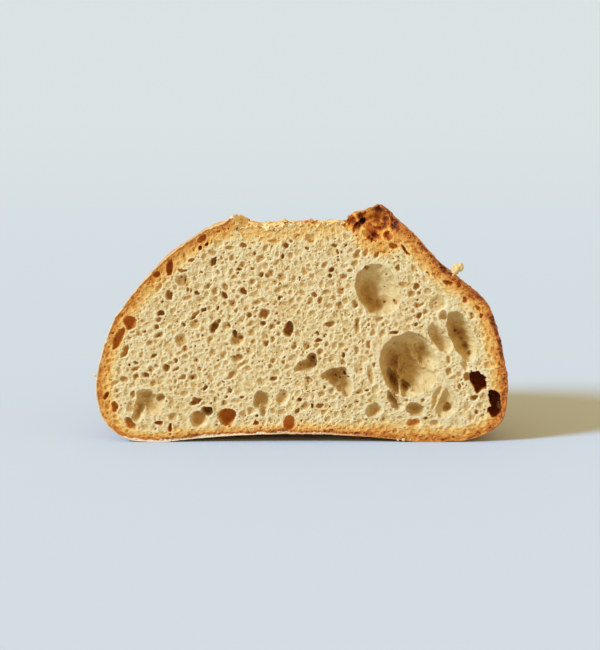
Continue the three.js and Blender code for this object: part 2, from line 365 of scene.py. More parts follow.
def window(x, z, reach):
    """The part of the sheet within reach of a place, as a pair of slices."""
    low = int((z - reach - SHEET_FOOT) / SHEET_STEP)
    left = int((x - reach - SHEET_LEFT) / SHEET_STEP)
    size = int(2 * reach / SHEET_STEP) + 2
    return (slice(max(low, 0), max(low + size, 1)), slice(max(left, 0), max(left + size, 1)))


def oval(x, z, width, height, lean, ragged=1.0, margin=1.0):
    """The window round an oval, and each place in it as half widths across and half heights up
    its own axes, which are turned by lean degrees with the top to the left. Ragged is how much
    of the wobble its edge has."""
    part = window(x, z, 0.5 * max(width, height) + margin * ragged)
    turn = math.radians(lean)
    dx = PLAIN_X[part] + ragged * WOBBLE_X[part] - x
    dz = PLAIN_Z[part] + ragged * WOBBLE_Z[part] - z
    across = (dx * math.cos(turn) + dz * math.sin(turn)) * (2 / width)
    up = (dz * math.cos(turn) - dx * math.sin(turn)) * (2 / height)
    return part, across, up


def press(sheet, x, z, width, height, depth, lean=0, floor=2.4, tilt=(0, 0), shade_and_tone=None,
          lined=0.0, toast=0.0, steep=0.62, ragged=1.0, margin=1.12, deeper=False):
    """Presses an oval hollow in: its depth times one less the distance from its middle to the
    power floor, to the power steep, and times a slope across and up it. Its painted shade grows
    from the edge to the middle, more slowly in a lined hollow, and when none is given it is
    darker the deeper the hollow is for its width. Deeper adds to what is there, as a window into
    the next cell does, and no other cell may lie within margin half widths."""
    part, across, up = oval(x, z, width, height, lean, ragged)
    round_power = 2.25
    far = (np.abs(across) ** round_power + np.abs(up) ** round_power) ** (1 / round_power)
    bowl = depth * np.clip(1 - far**floor, 0, 1) ** steep * (1 + tilt[0] * across + tilt[1] * up)
    # painted shade: a hollow deeper for its width is darker
    if shade_and_tone is None:
        shade_and_tone = float(np.clip(0.10 + 0.5 * depth / min(width, height), 0, 0.85))
    graded = shade_and_tone * ease(1 - far, 0.0, 0.38 + 0.5 * lined)
    old, old_shade = sheet["depth"][part], sheet["shade_and_tone"][part]
    if deeper:
        here = far < 1
        sheet["depth"][part] = old + bowl
        sheet["shade_and_tone"][part] = np.maximum(old_shade, graded)
    else:
        here = (far < 1) & (bowl > old)
        sheet["depth"][part] = np.where(here, bowl, old)
        sheet["shade_and_tone"][part] = np.where(here, graded, old_shade)
    for name, value in (("lined", lined), ("toast", toast)):
        sheet[name][part] = np.where(here, value, sheet[name][part])
    sheet["taken"][part] |= far < margin


def strand(sheet, places, width, lift):
    """Raises a rounded strand of crumb along a bent line inside a hole: the depth is cut by a
    bell curve of the distance to the line's nearest stretch."""
    x, z = zip(*places)
    part = window((min(x) + max(x)) / 2, (min(z) + max(z)) / 2,
                  0.5 * max(max(x) - min(x), max(z) - min(z)) + 2 * width)
    across, up = WAVY_X[part], WAVY_Z[part]
    near = np.full(across.shape, np.inf)
    for (x0, z0), (x1, z1) in zip(places, places[1:]):
        dx, dz = x1 - x0, z1 - z0
        share = ((across - x0) * dx + (up - z0) * dz) / (dx * dx + dz * dz)
        share = np.clip(share, 0, 1)
        near = np.minimum(near, np.hypot(across - x0 - share * dx, up - z0 - share * dz))
    raised = sheet["depth"][part] - lift * np.exp(-((near / width) ** 2))
    sheet["depth"][part] = np.maximum(raised, 0.0)


def ear_pocket(sheet):
    """The torn recess under the ear: toasted, craggy and open at the top, with a narrow gap
    between its left chunk and the ear that is painted dark as a shadow. Ridged noise is taken
    from its depth, with a knob at its foot. Raised places are painted paler and the hollows
    between them darker, as painted highlight and shade on the crags; a bell curve paints a
    highlight at the left of the foot and another a hot one beside it, and the ear's upper right
    is burnt."""
    recess = {"floor": 3.2, "shade_and_tone": 0.0, "lined": 1.0, "margin": 1.0}
    press(sheet, 34.8, 101.4, 20.6, 19.4, 4.8, 18, toast=0.54, ragged=2.4, **recess)
    press(sheet, 22.2, 103.0, 9.0, 11.4, 3.4, 8, toast=0.62, ragged=2.0, **recess)
    # the narrow gap, painted near black as a shadow with high toast and shade
    press(sheet, 25.8, 99.4, 2.8, 8.6, 3.8, -42, toast=0.92, shade_and_tone=0.8, lined=1.0, deeper=True)
    part = window(31.0, 101.0, 17.0)
    x, z = PLAIN_X[part], PLAIN_Z[part]
    level = np.zeros_like(x)
    rough = (2.6 * torn(x, level, z, 5.0, 31) + 1.6 * torn(x, level, z, 2.5, 32)
             + 0.8 * torn(x, level, z, 1.1, 33) - 3.3)
    knob = np.exp(-(((x - 28.0) / 3.6) ** 2 + ((z - 96.6) / 2.4) ** 2))
    # a painted highlight on the knob at the left of the foot
    painted_highlight = np.exp(-(((x - 25.4) / 3.2) ** 2 + ((z - 95.6) / 2.2) ** 2))
    hot = np.exp(-(((x - 31.8) / 5.0) ** 2 + ((z - 95.2) / 2.4) ** 2))
    inside = ease(sheet["toast"][part], 0.2, 0.5)
    sheet["depth"][part] = np.maximum(sheet["depth"][part] - inside * (rough + 2.6 * knob), 0.1)
    # raised crags painted paler and the hollows darker: painted highlight and shade
    raised = ease(rough + 1.6 * knob, -0.9, 1.0)
    burnt = 0.22 * ease(x + z, 140.0, 148.0)
    patches = ease(unevenness(x, level, z, 4.4, 34), 0.1, 0.6)
    change = 0.15 - 0.42 * raised - 0.26 * painted_highlight + 0.24 * hot + 0.30 * patches + burnt
    change += 0.08 * unevenness(x, level, z, 1.3, 35)
    toasted = np.clip(sheet["toast"][part] + change, 0.31, 1)
    sheet["ear"][part] = inside
    sheet["lined"][part] *= 1 - 0.9 * painted_highlight
    sheet["toast"][part] = between(sheet["toast"][part], toasted, inside)


def upper_hole(sheet):
    """The wide hole right of the middle: steep on the left, running out to the right, with a few
    small pits at its foot. Shade is painted along its left and lower walls, which the light from
    the left doesn't reach, and the pits are painted dark."""
    press(sheet, 34.7, 70.4, 18.8, 24.0, 6.4, 26, floor=2.0, tilt=(-0.62, -0.12), shade_and_tone=0.04, lined=1.0,
          steep=0.55)
    # painted shade along the left and lower walls
    press(sheet, 30.6, 66.8, 9.4, 19.0, 1.3, 26, shade_and_tone=0.42, lined=1.0, deeper=True, steep=1.0)
    press(sheet, 35.8, 62.8, 13.0, 7.0, 0.9, 20, shade_and_tone=0.42, lined=1.0, deeper=True, steep=1.0)
    # small pits painted dark as shade
    for x, z, width, height, depth, lean in (
            (31.5, 64.7, 3.0, 1.3, 1.2, -35), (37.7, 63.4, 1.7, 1.6, 1.6, 0),
            (42.6, 64.3, 2.2, 2.8, 1.6, -15), (38.3, 70.8, 0.9, 0.9, 0.5, 0),
            (29.9, 80.4, 2.5, 1.8, 1.4, 10), (41.0, 72.0, 0.7, 0.7, 0.6, 0)):
        press(sheet, x, z, width, height, depth, lean, deeper=True, shade_and_tone=0.75)


def large_hole(sheet):
    """The largest hole: a deep bowl with a recess at its upper right, two narrow windows at its
    lower left, strands between them, and an arm that runs down from it. Its skins are painted
    browner inwards as shade, with a darker band down the left wall, and the narrow windows and
    small pits are painted dark."""
    press(sheet, 42.6, 19.4, 4.6, 10.6, 5.0, 35, shade_and_tone=0.45, lined=0.8)
    press(sheet, 49.3, 35.8, 26.4, 29.2, 9.6, 12, floor=2.2, tilt=(-0.2, -0.05), shade_and_tone=0.38, lined=1.0,
          steep=0.58)
    # a band of painted shade down the left wall
    press(sheet, 42.4, 36.0, 9.0, 20.0, 1.6, 8, floor=2.0, deeper=True, shade_and_tone=0.46, lined=1.0, steep=1.0)
    press(sheet, 56.4, 40.6, 6.6, 13.0, 2.2, 24, floor=3.0, deeper=True, shade_and_tone=0.45, lined=1.0, steep=0.8)
    press(sheet, 50.9, 27.9, 11.0, 13.0, 2.2, 0, floor=2.4, deeper=True, shade_and_tone=0.34, lined=1.0, steep=0.8)
    # painted shade: the narrow windows are dark
    press(sheet, 41.9, 27.6, 4.2, 12.0, 4.0, 22, floor=4.0, deeper=True, shade_and_tone=0.72, lined=0.9)
    press(sheet, 47.6, 25.2, 3.4, 6.6, 3.6, 46, floor=4.0, deeper=True, shade_and_tone=0.78, lined=0.9)
    strand(sheet, ((49.0, 43.4), (51.4, 39.2), (54.4, 35.2), (57.4, 33.2), (60.8, 32.8)), 1.1, 1.8)
    strand(sheet, ((44.6, 38.0), (44.2, 32.0), (45.6, 26.6), (50.0, 23.4)), 0.7, 2.6)
    strand(sheet, ((46.8, 33.0), (46.4, 28.4), (48.4, 24.2), (52.0, 22.2), (56.4, 23.4), (59.6, 27.0)),
           0.9, 1.8)
    strand(sheet, ((37.8, 27.5), (41.0, 22.4), (44.8, 18.0)), 0.8, 2.8)
    strand(sheet, ((44.0, 27.6), (46.0, 22.0), (47.6, 16.4)), 0.7, 3.2)
    for x, z in ((40.8, 40.5), (42.6, 44.0), (46.8, 35.0), (52.3, 43.5), (58.9, 36.0), (47.4, 31.0)):
        press(sheet, x, z, 1.1, 1.0, 0.7, 0, deeper=True, shade_and_tone=0.75, lined=1.0)


def side_holes(sheet):
    """The leaning holes beside the largest one, with small pits painted dark as shade, and the two
    ragged ones at the right crust, painted dark brown by shade in their depth together with the
    crust's bake.
    """
    press(sheet, 64.9, 58.2, 3.8, 4.8, 2.6, 10, shade_and_tone=0.2, lined=0.5)
    press(sheet, 73.4, 48.8, 10.6, 24.6, 7.0, 23, floor=2.4, tilt=(-0.2, 0.1), shade_and_tone=0.50, lined=1.0)
    for x, z, size, depth in ((75.4, 43.7, 3.8, 1.8), (77.0, 40.3, 3.0, 1.6), (70.6, 51.0, 1.4, 1.6),
                              (72.3, 49.2, 1.0, 1.0), (73.4, 46.6, 2.0, 0.9)):
        press(sheet, x, z, size, size, depth, 0, deeper=True, shade_and_tone=0.72, lined=1.0)
    press(sheet, 63.6, 47.6, 7.4, 15.4, 4.2, 38, floor=2.0, tilt=(-0.45, 0), shade_and_tone=0.22, lined=0.7)
    press(sheet, 75.0, 35.0, 3.4, 6.0, 1.8, 30, shade_and_tone=0.2)
    # painted shade and bake: the deep holes at the crust are dark brown
    for x, z, width, height, depth in ((81.4, 28.6, 6.6, 9.4, 12.0), (79.6, 31.4, 3.6, 4.4, 9.0),
                                       (83.2, 26.6, 4.6, 5.4, 11.0), (81.0, 24.6, 3.0, 3.6, 8.0)):
        press(sheet, x, z, width, height, depth, 18, floor=5.0, shade_and_tone=0.5, toast=0.72, ragged=1.8)
    press(sheet, 76.4, 29.8, 3.2, 4.4, 3.6, 20, shade_and_tone=0.5, toast=0.2)
    for x, z, width, height, depth in ((89.0, 18.2, 5.6, 13.0, 11.5), (87.2, 21.6, 3.2, 3.6, 8.0),
                                       (88.0, 14.0, 3.4, 6.0, 9.0)):
        press(sheet, x, z, width, height, depth, 8, floor=5.0, shade_and_tone=0.5, toast=0.74, ragged=1.5)


def middle_holes(sheet):
    """The three-cornered holes left of the largest one, with greyish skins and corners painted dark
    as shade.
    """
    press(sheet, 1.4, 35.6, 10.8, 4.6, 4.0, 20, tilt=(0.3, 0), shade_and_tone=0.40, lined=0.9)
    press(sheet, 4.9, 37.4, 4.8, 7.8, 5.4, 10, shade_and_tone=0.60, lined=0.9)
    press(sheet, 3.4, 35.5, 6.0, 5.0, 4.6, 30, shade_and_tone=0.50, lined=0.9)
    # painted shade in the dark corners
    press(sheet, 5.6, 38.2, 1.6, 1.5, 1.5, 0, deeper=True, shade_and_tone=1.0)
    press(sheet, 6.6, 35.6, 1.2, 1.1, 1.2, 0, deeper=True, shade_and_tone=0.9)
    press(sheet, 15.6, 31.0, 13.0, 6.4, 5.2, 10, shade_and_tone=0.5, lined=0.9, ragged=1.3)
    press(sheet, 19.6, 27.4, 7.2, 12.6, 5.0, 12, shade_and_tone=0.40, lined=0.9, ragged=1.3)
    press(sheet, 15.4, 28.6, 8.6, 5.4, 4.8, -40, shade_and_tone=0.46, lined=0.9)
    for x, z, size in ((20.3, 31.4, 2.2), (17.8, 29.2, 1.4), (21.6, 30.0, 1.3), (15.9, 30.4, 1.1)):
        press(sheet, x, z, size, 0.8 * size, 1.8, 20, deeper=True, shade_and_tone=1.0)


def corner_holes(sheet):
    """The open holes along the foot: a pale one at the left with its sides painted darker as
    shade, brown ones beside it, painted brown by shade in their depth with some bake, a grey one
    near the middle, and shallow bowls under the largest hole."""
    press(sheet, -70.2, 17.6, 12.6, 10.4, 3.6, -20, shade_and_tone=0.12, lined=0.9, steep=0.8)
    # painted shade on the sides of the pale hole
    press(sheet, -68.8, 15.4, 6.0, 5.0, 0.6, 0, shade_and_tone=0.34, lined=1.0, deeper=True)
    press(sheet, -71.6, 21.2, 8.6, 6.6, 1.2, -10, shade_and_tone=0.44, lined=1.0, deeper=True)
    press(sheet, -65.4, 20.0, 4.4, 4.6, 4.4, -30, shade_and_tone=0.48, lined=0.3)
    press(sheet, -75.4, 14.0, 5.0, 9.4, 2.4, -14, shade_and_tone=0.62, lined=0.8, deeper=True)
    press(sheet, -47.6, 10.8, 7.8, 7.6, 4.2, 10, shade_and_tone=0.55, toast=0.04)
    press(sheet, -43.6, 13.8, 5.2, 4.6, 7.6, -20, shade_and_tone=0.72, lined=0.5)
    press(sheet, -34.4, 11.6, 8.8, 8.2, 8.6, -30, shade_and_tone=0.8, toast=0.36, ragged=1.3)
    press(sheet, -18.2, 19.6, 8.4, 8.0, 4.4, -15, shade_and_tone=0.34, lined=0.9, ragged=1.3)
    press(sheet, -17.8, 14.6, 3.6, 6.0, 3.0, 0, shade_and_tone=0.34, lined=0.6)
    press(sheet, -8.8, 20.8, 5.6, 7.2, 2.4, -20, tilt=(-0.4, 0), shade_and_tone=0.34, toast=0.08)
    press(sheet, -5.8, 8.8, 5.8, 6.8, 4.0, 0, tilt=(0, -0.3), shade_and_tone=0.4, toast=0.45)
    press(sheet, 33.5, 14.6, 8.4, 6.4, 3.4, 30, shade_and_tone=0.36, lined=0.4)
    press(sheet, 52.4, 15.2, 8.6, 6.6, 4.2, -25, shade_and_tone=0.42, lined=0.7)
    press(sheet, 51.8, 9.0, 7.0, 3.8, 3.0, -5, shade_and_tone=0.4, toast=0.2)
    press(sheet, 65.6, 18.4, 11.0, 15.0, 2.0, 8, floor=2.0, shade_and_tone=0.12, lined=0.9)
    press(sheet, 67.2, 15.5, 4.2, 5.2, 3.8, -8, floor=4.0, deeper=True, shade_and_tone=0.66, toast=0.1)
    press(sheet, 61.4, 8.8, 4.6, 2.6, 2.0, -20, shade_and_tone=0.3)
    strand(sheet, ((58.6, 10.0), (61.6, 15.0), (64.4, 22.0), (66.6, 27.0)), 0.7, 1.6)
    strand(sheet, ((66.6, 27.0), (70.4, 20.0), (73.0, 14.0)), 0.7, 1.6)


# The crumb's cells that stand out between the large holes, each as across, up, width, height,
# depth and lean. The deep ones are painted dark brown and the shallow ones tan, as shade in
# the hollow.
DEEPLY_SHADED_CELLS = (
    (-40.2, 53.2, 4.6, 5.4, 7.0, -30), (-38.2, 55.4, 2.4, 2.0, 4.0, 30), (-6.2, 52.4, 4.6, 7.4, 8.0, -16),
    (-17.1, 59.2, 4.6, 5.2, 5.0, -20), (-30.8, 49.8, 2.6, 3.8, 6.0, 10), (-27.8, 48.2, 3.8, 2.4, 4.6, -20),
    (-40.4, 83.3, 2.8, 4.4, 5.0, -10), (-60.5, 67.6, 4.2, 3.8, 4.6, 10), (-35.5, 67.5, 2.6, 3.6, 4.0, 25),
    (-47.8, 69.0, 2.0, 2.0, 3.2, 0), (-64.7, 59.7, 3.8, 3.0, 4.4, 10), (-45.1, 60.5, 1.9, 2.3, 3.0, 0),
    (-38.3, 61.6, 1.9, 2.1, 3.0, 0), (-52.7, 70.5, 1.6, 1.6, 2.0, 0), (-79.6, 52.8, 2.4, 2.6, 6.0, 0),
    (5.9, 68.0, 2.1, 3.0, 2.4, 10), (2.4, 89.4, 2.2, 1.8, 2.4, 0), (15.4, 90.2, 3.6, 2.1, 3.0, -14),
    (20.3, 90.2, 1.8, 1.3, 2.0, 0), (47.4, 88.0, 1.9, 6.0, 4.0, 42), (38.7, 77.2, 1.9, 1.9, 3.4, 0),
    (52.5, 71.8, 3.2, 3.2, 3.4, 0), (42.4, 50.6, 5.4, 1.8, 2.6, 12), (13.0, 54.4, 5.6, 2.6, 2.8, 4),
    (7.0, 50.2, 2.8, 2.0, 3.0, 0), (7.4, 47.2, 4.4, 2.2, 3.2, -10), (-44.4, 25.4, 2.6, 1.8, 3.2, 30),
    (-49.0, 18.7, 6.2, 3.2, 4.4, 34), (-36.4, 84.4, 1.7, 1.7, 1.5, 0), (-57.8, 37.5, 1.9, 1.9, 2.4, 0),
    (8.6, 17.2, 3.2, 2.6, 3.0, 0), (4.8, 17.0, 2.2, 2.2, 3.0, 0), (-68.2, 40.1, 2.3, 2.5, 3.0, -10),
    (-32.8, 23.8, 2.4, 2.6, 2.6, 0), (52.4, 54.0, 2.2, 1.6, 2.4, 0), (66.9, 73.4, 6.0, 2.2, 3.0, -16),
    (-54.3, 54.2, 2.3, 3.0, 2.8, 0), (-81.0, 41.7, 3.4, 6.0, 4.0, -26), (-78.9, 8.3, 3.6, 7.2, 4.8, 40),
    (-50.0, 83.9, 2.8, 1.8, 2.6, -20), (-54.4, 79.0, 3.8, 1.9, 2.8, -10), (-33.4, 88.9, 5.2, 2.2, 1.8, 2),
    (-26.6, 89.9, 3.4, 2.3, 2.6, 0), (-22.6, 79.4, 2.4, 1.8, 1.8, 0), (-28.8, 79.6, 2.8, 1.8, 2.4, 0),
)
LIGHTLY_SHADED_CELLS = (
    (-29.4, 47.2, 7.2, 6.0, 3.4, 24), (-55.3, 46.9, 5.2, 6.0, 2.6, -16), (-53.6, 43.4, 3.8, 3.4, 2.4, 30),
    (-29.6, 38.9, 6.2, 4.0, 2.8, 12), (-27.0, 36.0, 7.0, 2.2, 1.2, 42), (-49.0, 58.5, 6.4, 2.2, 2.4, 44),
    (-48.9, 54.6, 4.4, 4.2, 2.0, 0), (-54.2, 73.8, 6.4, 5.4, 2.6, -30), (-52.4, 72.3, 2.2, 2.2, 2.4, 0),
    (-39.8, 69.6, 3.4, 4.8, 2.0, -20), (-52.1, 66.7, 4.4, 2.6, 1.6, 20),
    (-65.4, 71.4, 2.6, 4.4, 2.0, -24), (-41.0, 87.3, 4.8, 2.2, 1.4, -4), (-12.5, 92.3, 6.6, 2.2, 1.8, -3),
    (-8.8, 75.9, 3.8, 3.8, 1.6, 0), (-30.9, 75.5, 3.8, 1.9, 1.4, 0), (4.0, 93.4, 5.4, 4.0, 2.4, -4),
    (-2.2, 94.3, 5.4, 3.2, 1.4, 0), (25.2, 86.4, 3.2, 4.8, 2.2, -24), (29.2, 87.2, 2.2, 3.8, 2.2, -8),
    (22.4, 78.8, 2.6, 2.4, 1.6, 0), (18.0, 69.8, 4.0, 3.2, 1.6, 0), (8.6, 65.6, 2.6, 3.6, 2.0, 8),
    (11.4, 68.8, 4.2, 3.0, 1.6, 0), (24.6, 63.8, 3.4, 4.6, 2.2, 10), (4.0, 64.6, 3.6, 3.8, 1.6, 0),
    (46.8, 72.5, 4.8, 3.6, 1.6, -10), (50.5, 68.2, 3.8, 3.4, 2.0, 0), (53.6, 63.2, 4.4, 2.6, 2.0, 0),
    (44.4, 79.8, 2.5, 3.3, 2.4, 24), (62.6, 64.0, 8.6, 7.0, 1.6, 20), (57.8, 69.6, 4.6, 2.6, 1.0, -12),
    (78.0, 58.4, 2.8, 4.2, 2.0, 22), (25.6, 53.8, 2.8, 8.2, 2.2, -4), (26.4, 33.6, 4.6, 6.0, 1.4, 20),
    (31.9, 30.6, 3.0, 10.0, 1.6, 8), (30.8, 45.2, 2.4, 4.4, 1.8, 10), (25.2, 42.4, 2.8, 4.6, 1.8, 8),
    (-3.5, 44.4, 2.8, 4.0, 2.0, 0), (-13.4, 47.4, 2.4, 3.8, 1.6, 0), (-22.8, 50.4, 3.0, 3.0, 1.6, 0),
    (-13.4, 53.2, 3.6, 2.8, 2.0, 0), (-65.4, 49.2, 4.0, 2.8, 2.2, 10), (-76.5, 34.0, 4.2, 2.6, 2.6, 6),
    (-76.4, 30.2, 3.6, 3.2, 2.4, 20), (-81.8, 29.2, 4.2, 3.0, 2.2, -20), (-68.2, 27.6, 2.9, 3.3, 1.8, 0),
    (-54.8, 30.0, 3.8, 2.6, 2.4, 6), (-50.0, 30.0, 3.8, 2.6, 2.4, 8), (-58.0, 33.7, 3.6, 1.9, 2.4, 34),
    (-32.0, 31.2, 6.8, 3.0, 2.0, 30), (-59.8, 11.5, 4.4, 4.4, 2.2, 10), (-23.6, 14.3, 3.8, 4.2, 2.0, 0),
    (-39.3, 19.6, 2.6, 3.0, 1.6, 0), (-78.8, 16.4, 3.6, 6.4, 1.4, -6), (-77.6, 21.9, 3.2, 3.6, 2.2, 0),
    (67.4, 38.1, 2.6, 4.2, 1.6, 6), (67.8, 32.7, 3.4, 3.9, 2.2, 0), (72.9, 25.7, 1.9, 3.2, 2.2, 10),
    (35.6, 56.7, 4.0, 2.8, 1.6, 0), (-30.0, 60.6, 1.9, 1.9, 1.8, 0),
)
# Cells in or beside the crust, baked through.
TOASTED_CELLS = (
    (-60.4, 80.0, 3.6, 7.0, 3.2, -4), (-66.3, 77.1, 2.8, 3.2, 2.2, -20), (-84.1, 47.8, 3.8, 11.0, 2.2, -24),
    (-45.6, 93.8, 4.6, 2.8, 2.0, 36), (-43.4, 91.2, 1.8, 1.8, 2.4, 0), (-46.2, 89.2, 1.7, 2.9, 2.4, -30),
    (-90.0, 21.4, 2.2, 4.2, 2.4, -6), (-86.3, 16.4, 2.6, 5.6, 1.6, 0), (-78.8, 55.2, 5.6, 6.0, 3.2, 0),
    (72.2, 72.7, 2.0, 2.4, 1.4, 0), (74.6, 65.8, 2.8, 2.4, 1.6, 0), (82.4, 58.4, 2.0, 2.0, 1.2, 0),
    (-61.0, 6.6, 1.6, 3.4, 1.8, 0), (-21.0, 8.8, 2.8, 2.4, 1.6, 0), (-66.4, 8.6, 3.8, 2.2, 2.0, 0),
)


def named_cells(sheet):
    """The cells that stand out, one by one. Each is painted darker the deeper it is for its
    width, as shade; the deeply shaded ones also get a little toast, which paints their shade
    redder.
    """
    for x, z, width, height, depth, lean in DEEPLY_SHADED_CELLS:
        # painted shade: darker the deeper the cell is for its width
        shade_and_tone = float(np.clip(0.25 + 0.45 * depth / min(width, height), 0.4, 0.85))
        press(sheet, x, z, width, height, 0.72 * depth, lean, floor=3.0, shade_and_tone=shade_and_tone, toast=0.12,
              ragged=1.2)
    for x, z, width, height, depth, lean in LIGHTLY_SHADED_CELLS:
        # painted shade: tan, darker the deeper the cell is for its width
        shade_and_tone = float(np.clip(0.26 + 0.5 * depth / min(width, height), 0.38, 0.66))
        press(sheet, x, z, width, height, 0.6 * depth, lean, floor=2.4, shade_and_tone=shade_and_tone)
    for x, z, width, height, depth, lean in TOASTED_CELLS:
        press(sheet, x, z, width, height, depth, lean, floor=2.8, toast=0.62)


# Sizes of the packed cells as largest and smallest radius, and how many places are tried.
CELL_SIZES = (
    (1.9, 1.45, 1500), (1.45, 1.1, 4500), (1.1, 0.8, 10000), (0.8, 0.55, 22000), (0.55, 0.36, 34000),
)
DEEP_CELLS = 0.05


def packed_cells(sheet):
    """Packs small cells between the others. Places are drawn at random, the largest cells first,
    and a cell is pressed only where its oval and the wall round it are still free. Cells lie
    along the crust near it, and are stretched most under the right-hand slope. Each is painted
    with shade that grows from its edge to its middle, and a few in a hundred, as DEEP_CELLS
    says, are deep and painted dark."""
    swirl = 1.6 * sheet_noise(17.0, 21)
    for largest, smallest, tries in CELL_SIZES:
        columns = DRAW.integers(8, len(SHEET_X) - 8, tries)
        rows = DRAW.integers(8, len(SHEET_Z) - 8, tries)
        draws = DRAW.uniform(0, 1, (tries, 8))
        free = ~sheet["taken"][rows, columns]
        for row, column, draw in zip(rows[free], columns[free], draws[free]):
            if sheet["taken"][row, column]:
                continue
            under = UNDER_CRUST[row, column]
            radius = between(smallest, largest, draw[0] ** 1.6)
            if radius > 0.30 + 0.22 * under:
                continue
            x, z = SHEET_X[column], SHEET_Z[row]
            along = ALONG_CRUST[row, column]
            on_slope = float(x > 22) * float(z > 48) * min(1.0, (x - 22) / 20)
            slope = max(0.0, 1 - abs(under - 7) / 9) * on_slope
            near = max(slope, math.exp(-under / 5.5))
            spread = (draw[1] - 0.5) * (0.35 + 2.2 * (1 - near))
            lean = along + spread + (1 - near) * swirl[row, column]
            stretch = 1.0 + 0.35 * draw[2] + 0.35 * near + 0.75 * slope * draw[3]
            width, height = 2 * radius * stretch, 2 * radius / math.sqrt(stretch)
            part, across, up = oval(x, z, width, height, math.degrees(lean), 0.95)
            far = np.hypot(across, up)
            wall = 1 + between(0.06, 0.34 * min(radius, 1.2), draw[4] ** 1.5) / radius
            if (sheet["taken"][part] & (far < wall)).any():
                continue
            deep = draw[5] < DEEP_CELLS
            depth = radius * (between(1.1, 1.8, draw[6]) if deep else between(0.24, 0.66, draw[6]))
            bowl = depth * np.clip(1 - far ** between(1.8, 3.2, draw[7]), 0, 1) ** 0.7
            # painted shade, darker for the deep cells
            shade_and_tone = between(0.60, 0.84, draw[6]) if deep else between(0.22, 0.58, draw[6])
            inside = far < 1
            sheet["depth"][part] = np.where(inside, bowl, sheet["depth"][part])
            graded = shade_and_tone * ease(1 - far, 0.0, 0.42)
            sheet["shade_and_tone"][part] = np.where(inside, graded, sheet["shade_and_tone"][part])
            sheet["taken"][part] |= inside


def inner_windows(sheet):
    """Small openings from one cell into the next: round spots where fast noise is high, let in
    only inside cells, pressed deeper and painted darker as the shade in the opening."""
    spots = ease(sheet_noise(1.3, 41), 0.34, 0.62) * ease(sheet_noise(0.9, 42), -0.2, 0.4)
    inside = ease(sheet["shade_and_tone"], 0.12, 0.3) * (1 - 0.8 * sheet["lined"])
    sheet["depth"] += 0.7 * spots * inside
    # painted shade in the openings
    sheet["shade_and_tone"] += 0.26 * spots * inside


def foam(size, seed):
    """A froth of many-sided cells over the sheet, one round each of the points drawn in a grid
    of that size: the distance to the second nearest point less that to the nearest, which is 0
    on the wall between two cells, and a value from 0 to 1 for each cell."""
    across = (WAVY_X + 1.2 * sheet_noise(8.0, seed + 3)) / size
    up = (WAVY_Z + 1.2 * sheet_noise(8.0, seed + 4)) / size
    column, row = np.floor(across).astype(np.int64), np.floor(up).astype(np.int64)
    flat = np.zeros_like(column)
    nearest, second = np.full(across.shape, 9.0), np.full(across.shape, 9.0)
    tone = np.zeros(across.shape)
    for step in range(9):
        i, j = column + step % 3 - 1, row + step // 3 - 1
        far = np.hypot(i + 0.1 + 0.8 * scatter(i, j, flat, seed) - across,
                       j + 0.1 + 0.8 * scatter(i, j, flat, seed + 1) - up)
        second = np.minimum(second, np.maximum(nearest, far))
        tone = np.where(far < nearest, scatter(i, j, flat, seed + 2), tone)
        nearest = np.minimum(nearest, far)
    return (second - nearest) * size, tone


def torn_walls(sheet):
    """The rough grain of the cut: shallow many-sided cells, small pits and raised grains on the
    walls, nearly smooth on the lined skins, which have dents and a net of ridges instead."""
    grain = 0.07 * sheet_noise(1.0, 51) + 0.05 * sheet_noise(0.55, 52)
    pits = ease(sheet_noise(0.75, 54), 0.22, 0.6)
    tiny_pits = ease(sheet_noise(0.5, 55), 0.25, 0.65)
    net = 0.30 * np.abs(sheet_noise(1.9, 56)) + 0.22 * np.abs(sheet_noise(1.0, 57))
    spots = sheet_noise(2.4, 59)
    dents = 0.5 * sheet_noise(4.6, 58) + 0.25 * spots + net
    open_wall = 1 - ease(sheet["shade_and_tone"], 0.05, 0.4)
    soft = ease(sheet_noise(2.7, 66), 0.0, 0.7) * open_wall
    gap, tone = foam(2.3, 71)
    froth = ease(gap, 0.10, 0.55) * tone**1.5 * open_wall
    rough = 0.3 + grain + (0.15 * pits + 0.08 * tiny_pits) * between(0.4, 1.0, open_wall)
    rough = rough + 0.3 * soft + 0.16 * froth
    sheet["depth"] += between(rough, 0.3 + dents + 0.4 * grain, sheet["lined"])
    sheet["depth"] = np.clip(sheet["depth"], 0.0, DEEPEST)
    # painted shade in the pits, soft hollows and froth cells, which are pressed deeper by the same shares,
    # with a little random tone
    pit_shade_and_tone = 0.16 * pits + 0.09 * tiny_pits + 0.12 * soft + 0.26 * froth
    pit_shade_and_tone += 0.05 * sheet_noise(3.1, 60)
    sheet["shade_and_tone"] += (1 - sheet["lined"]) * pit_shade_and_tone
    # on the skins, painted shade in the dents along the net and spots
    sheet["shade_and_tone"] += sheet["lined"] * (0.45 * net + 0.14 * spots)
    sheet["shade_and_tone"] = np.clip(sheet["shade_and_tone"], 0, 1)


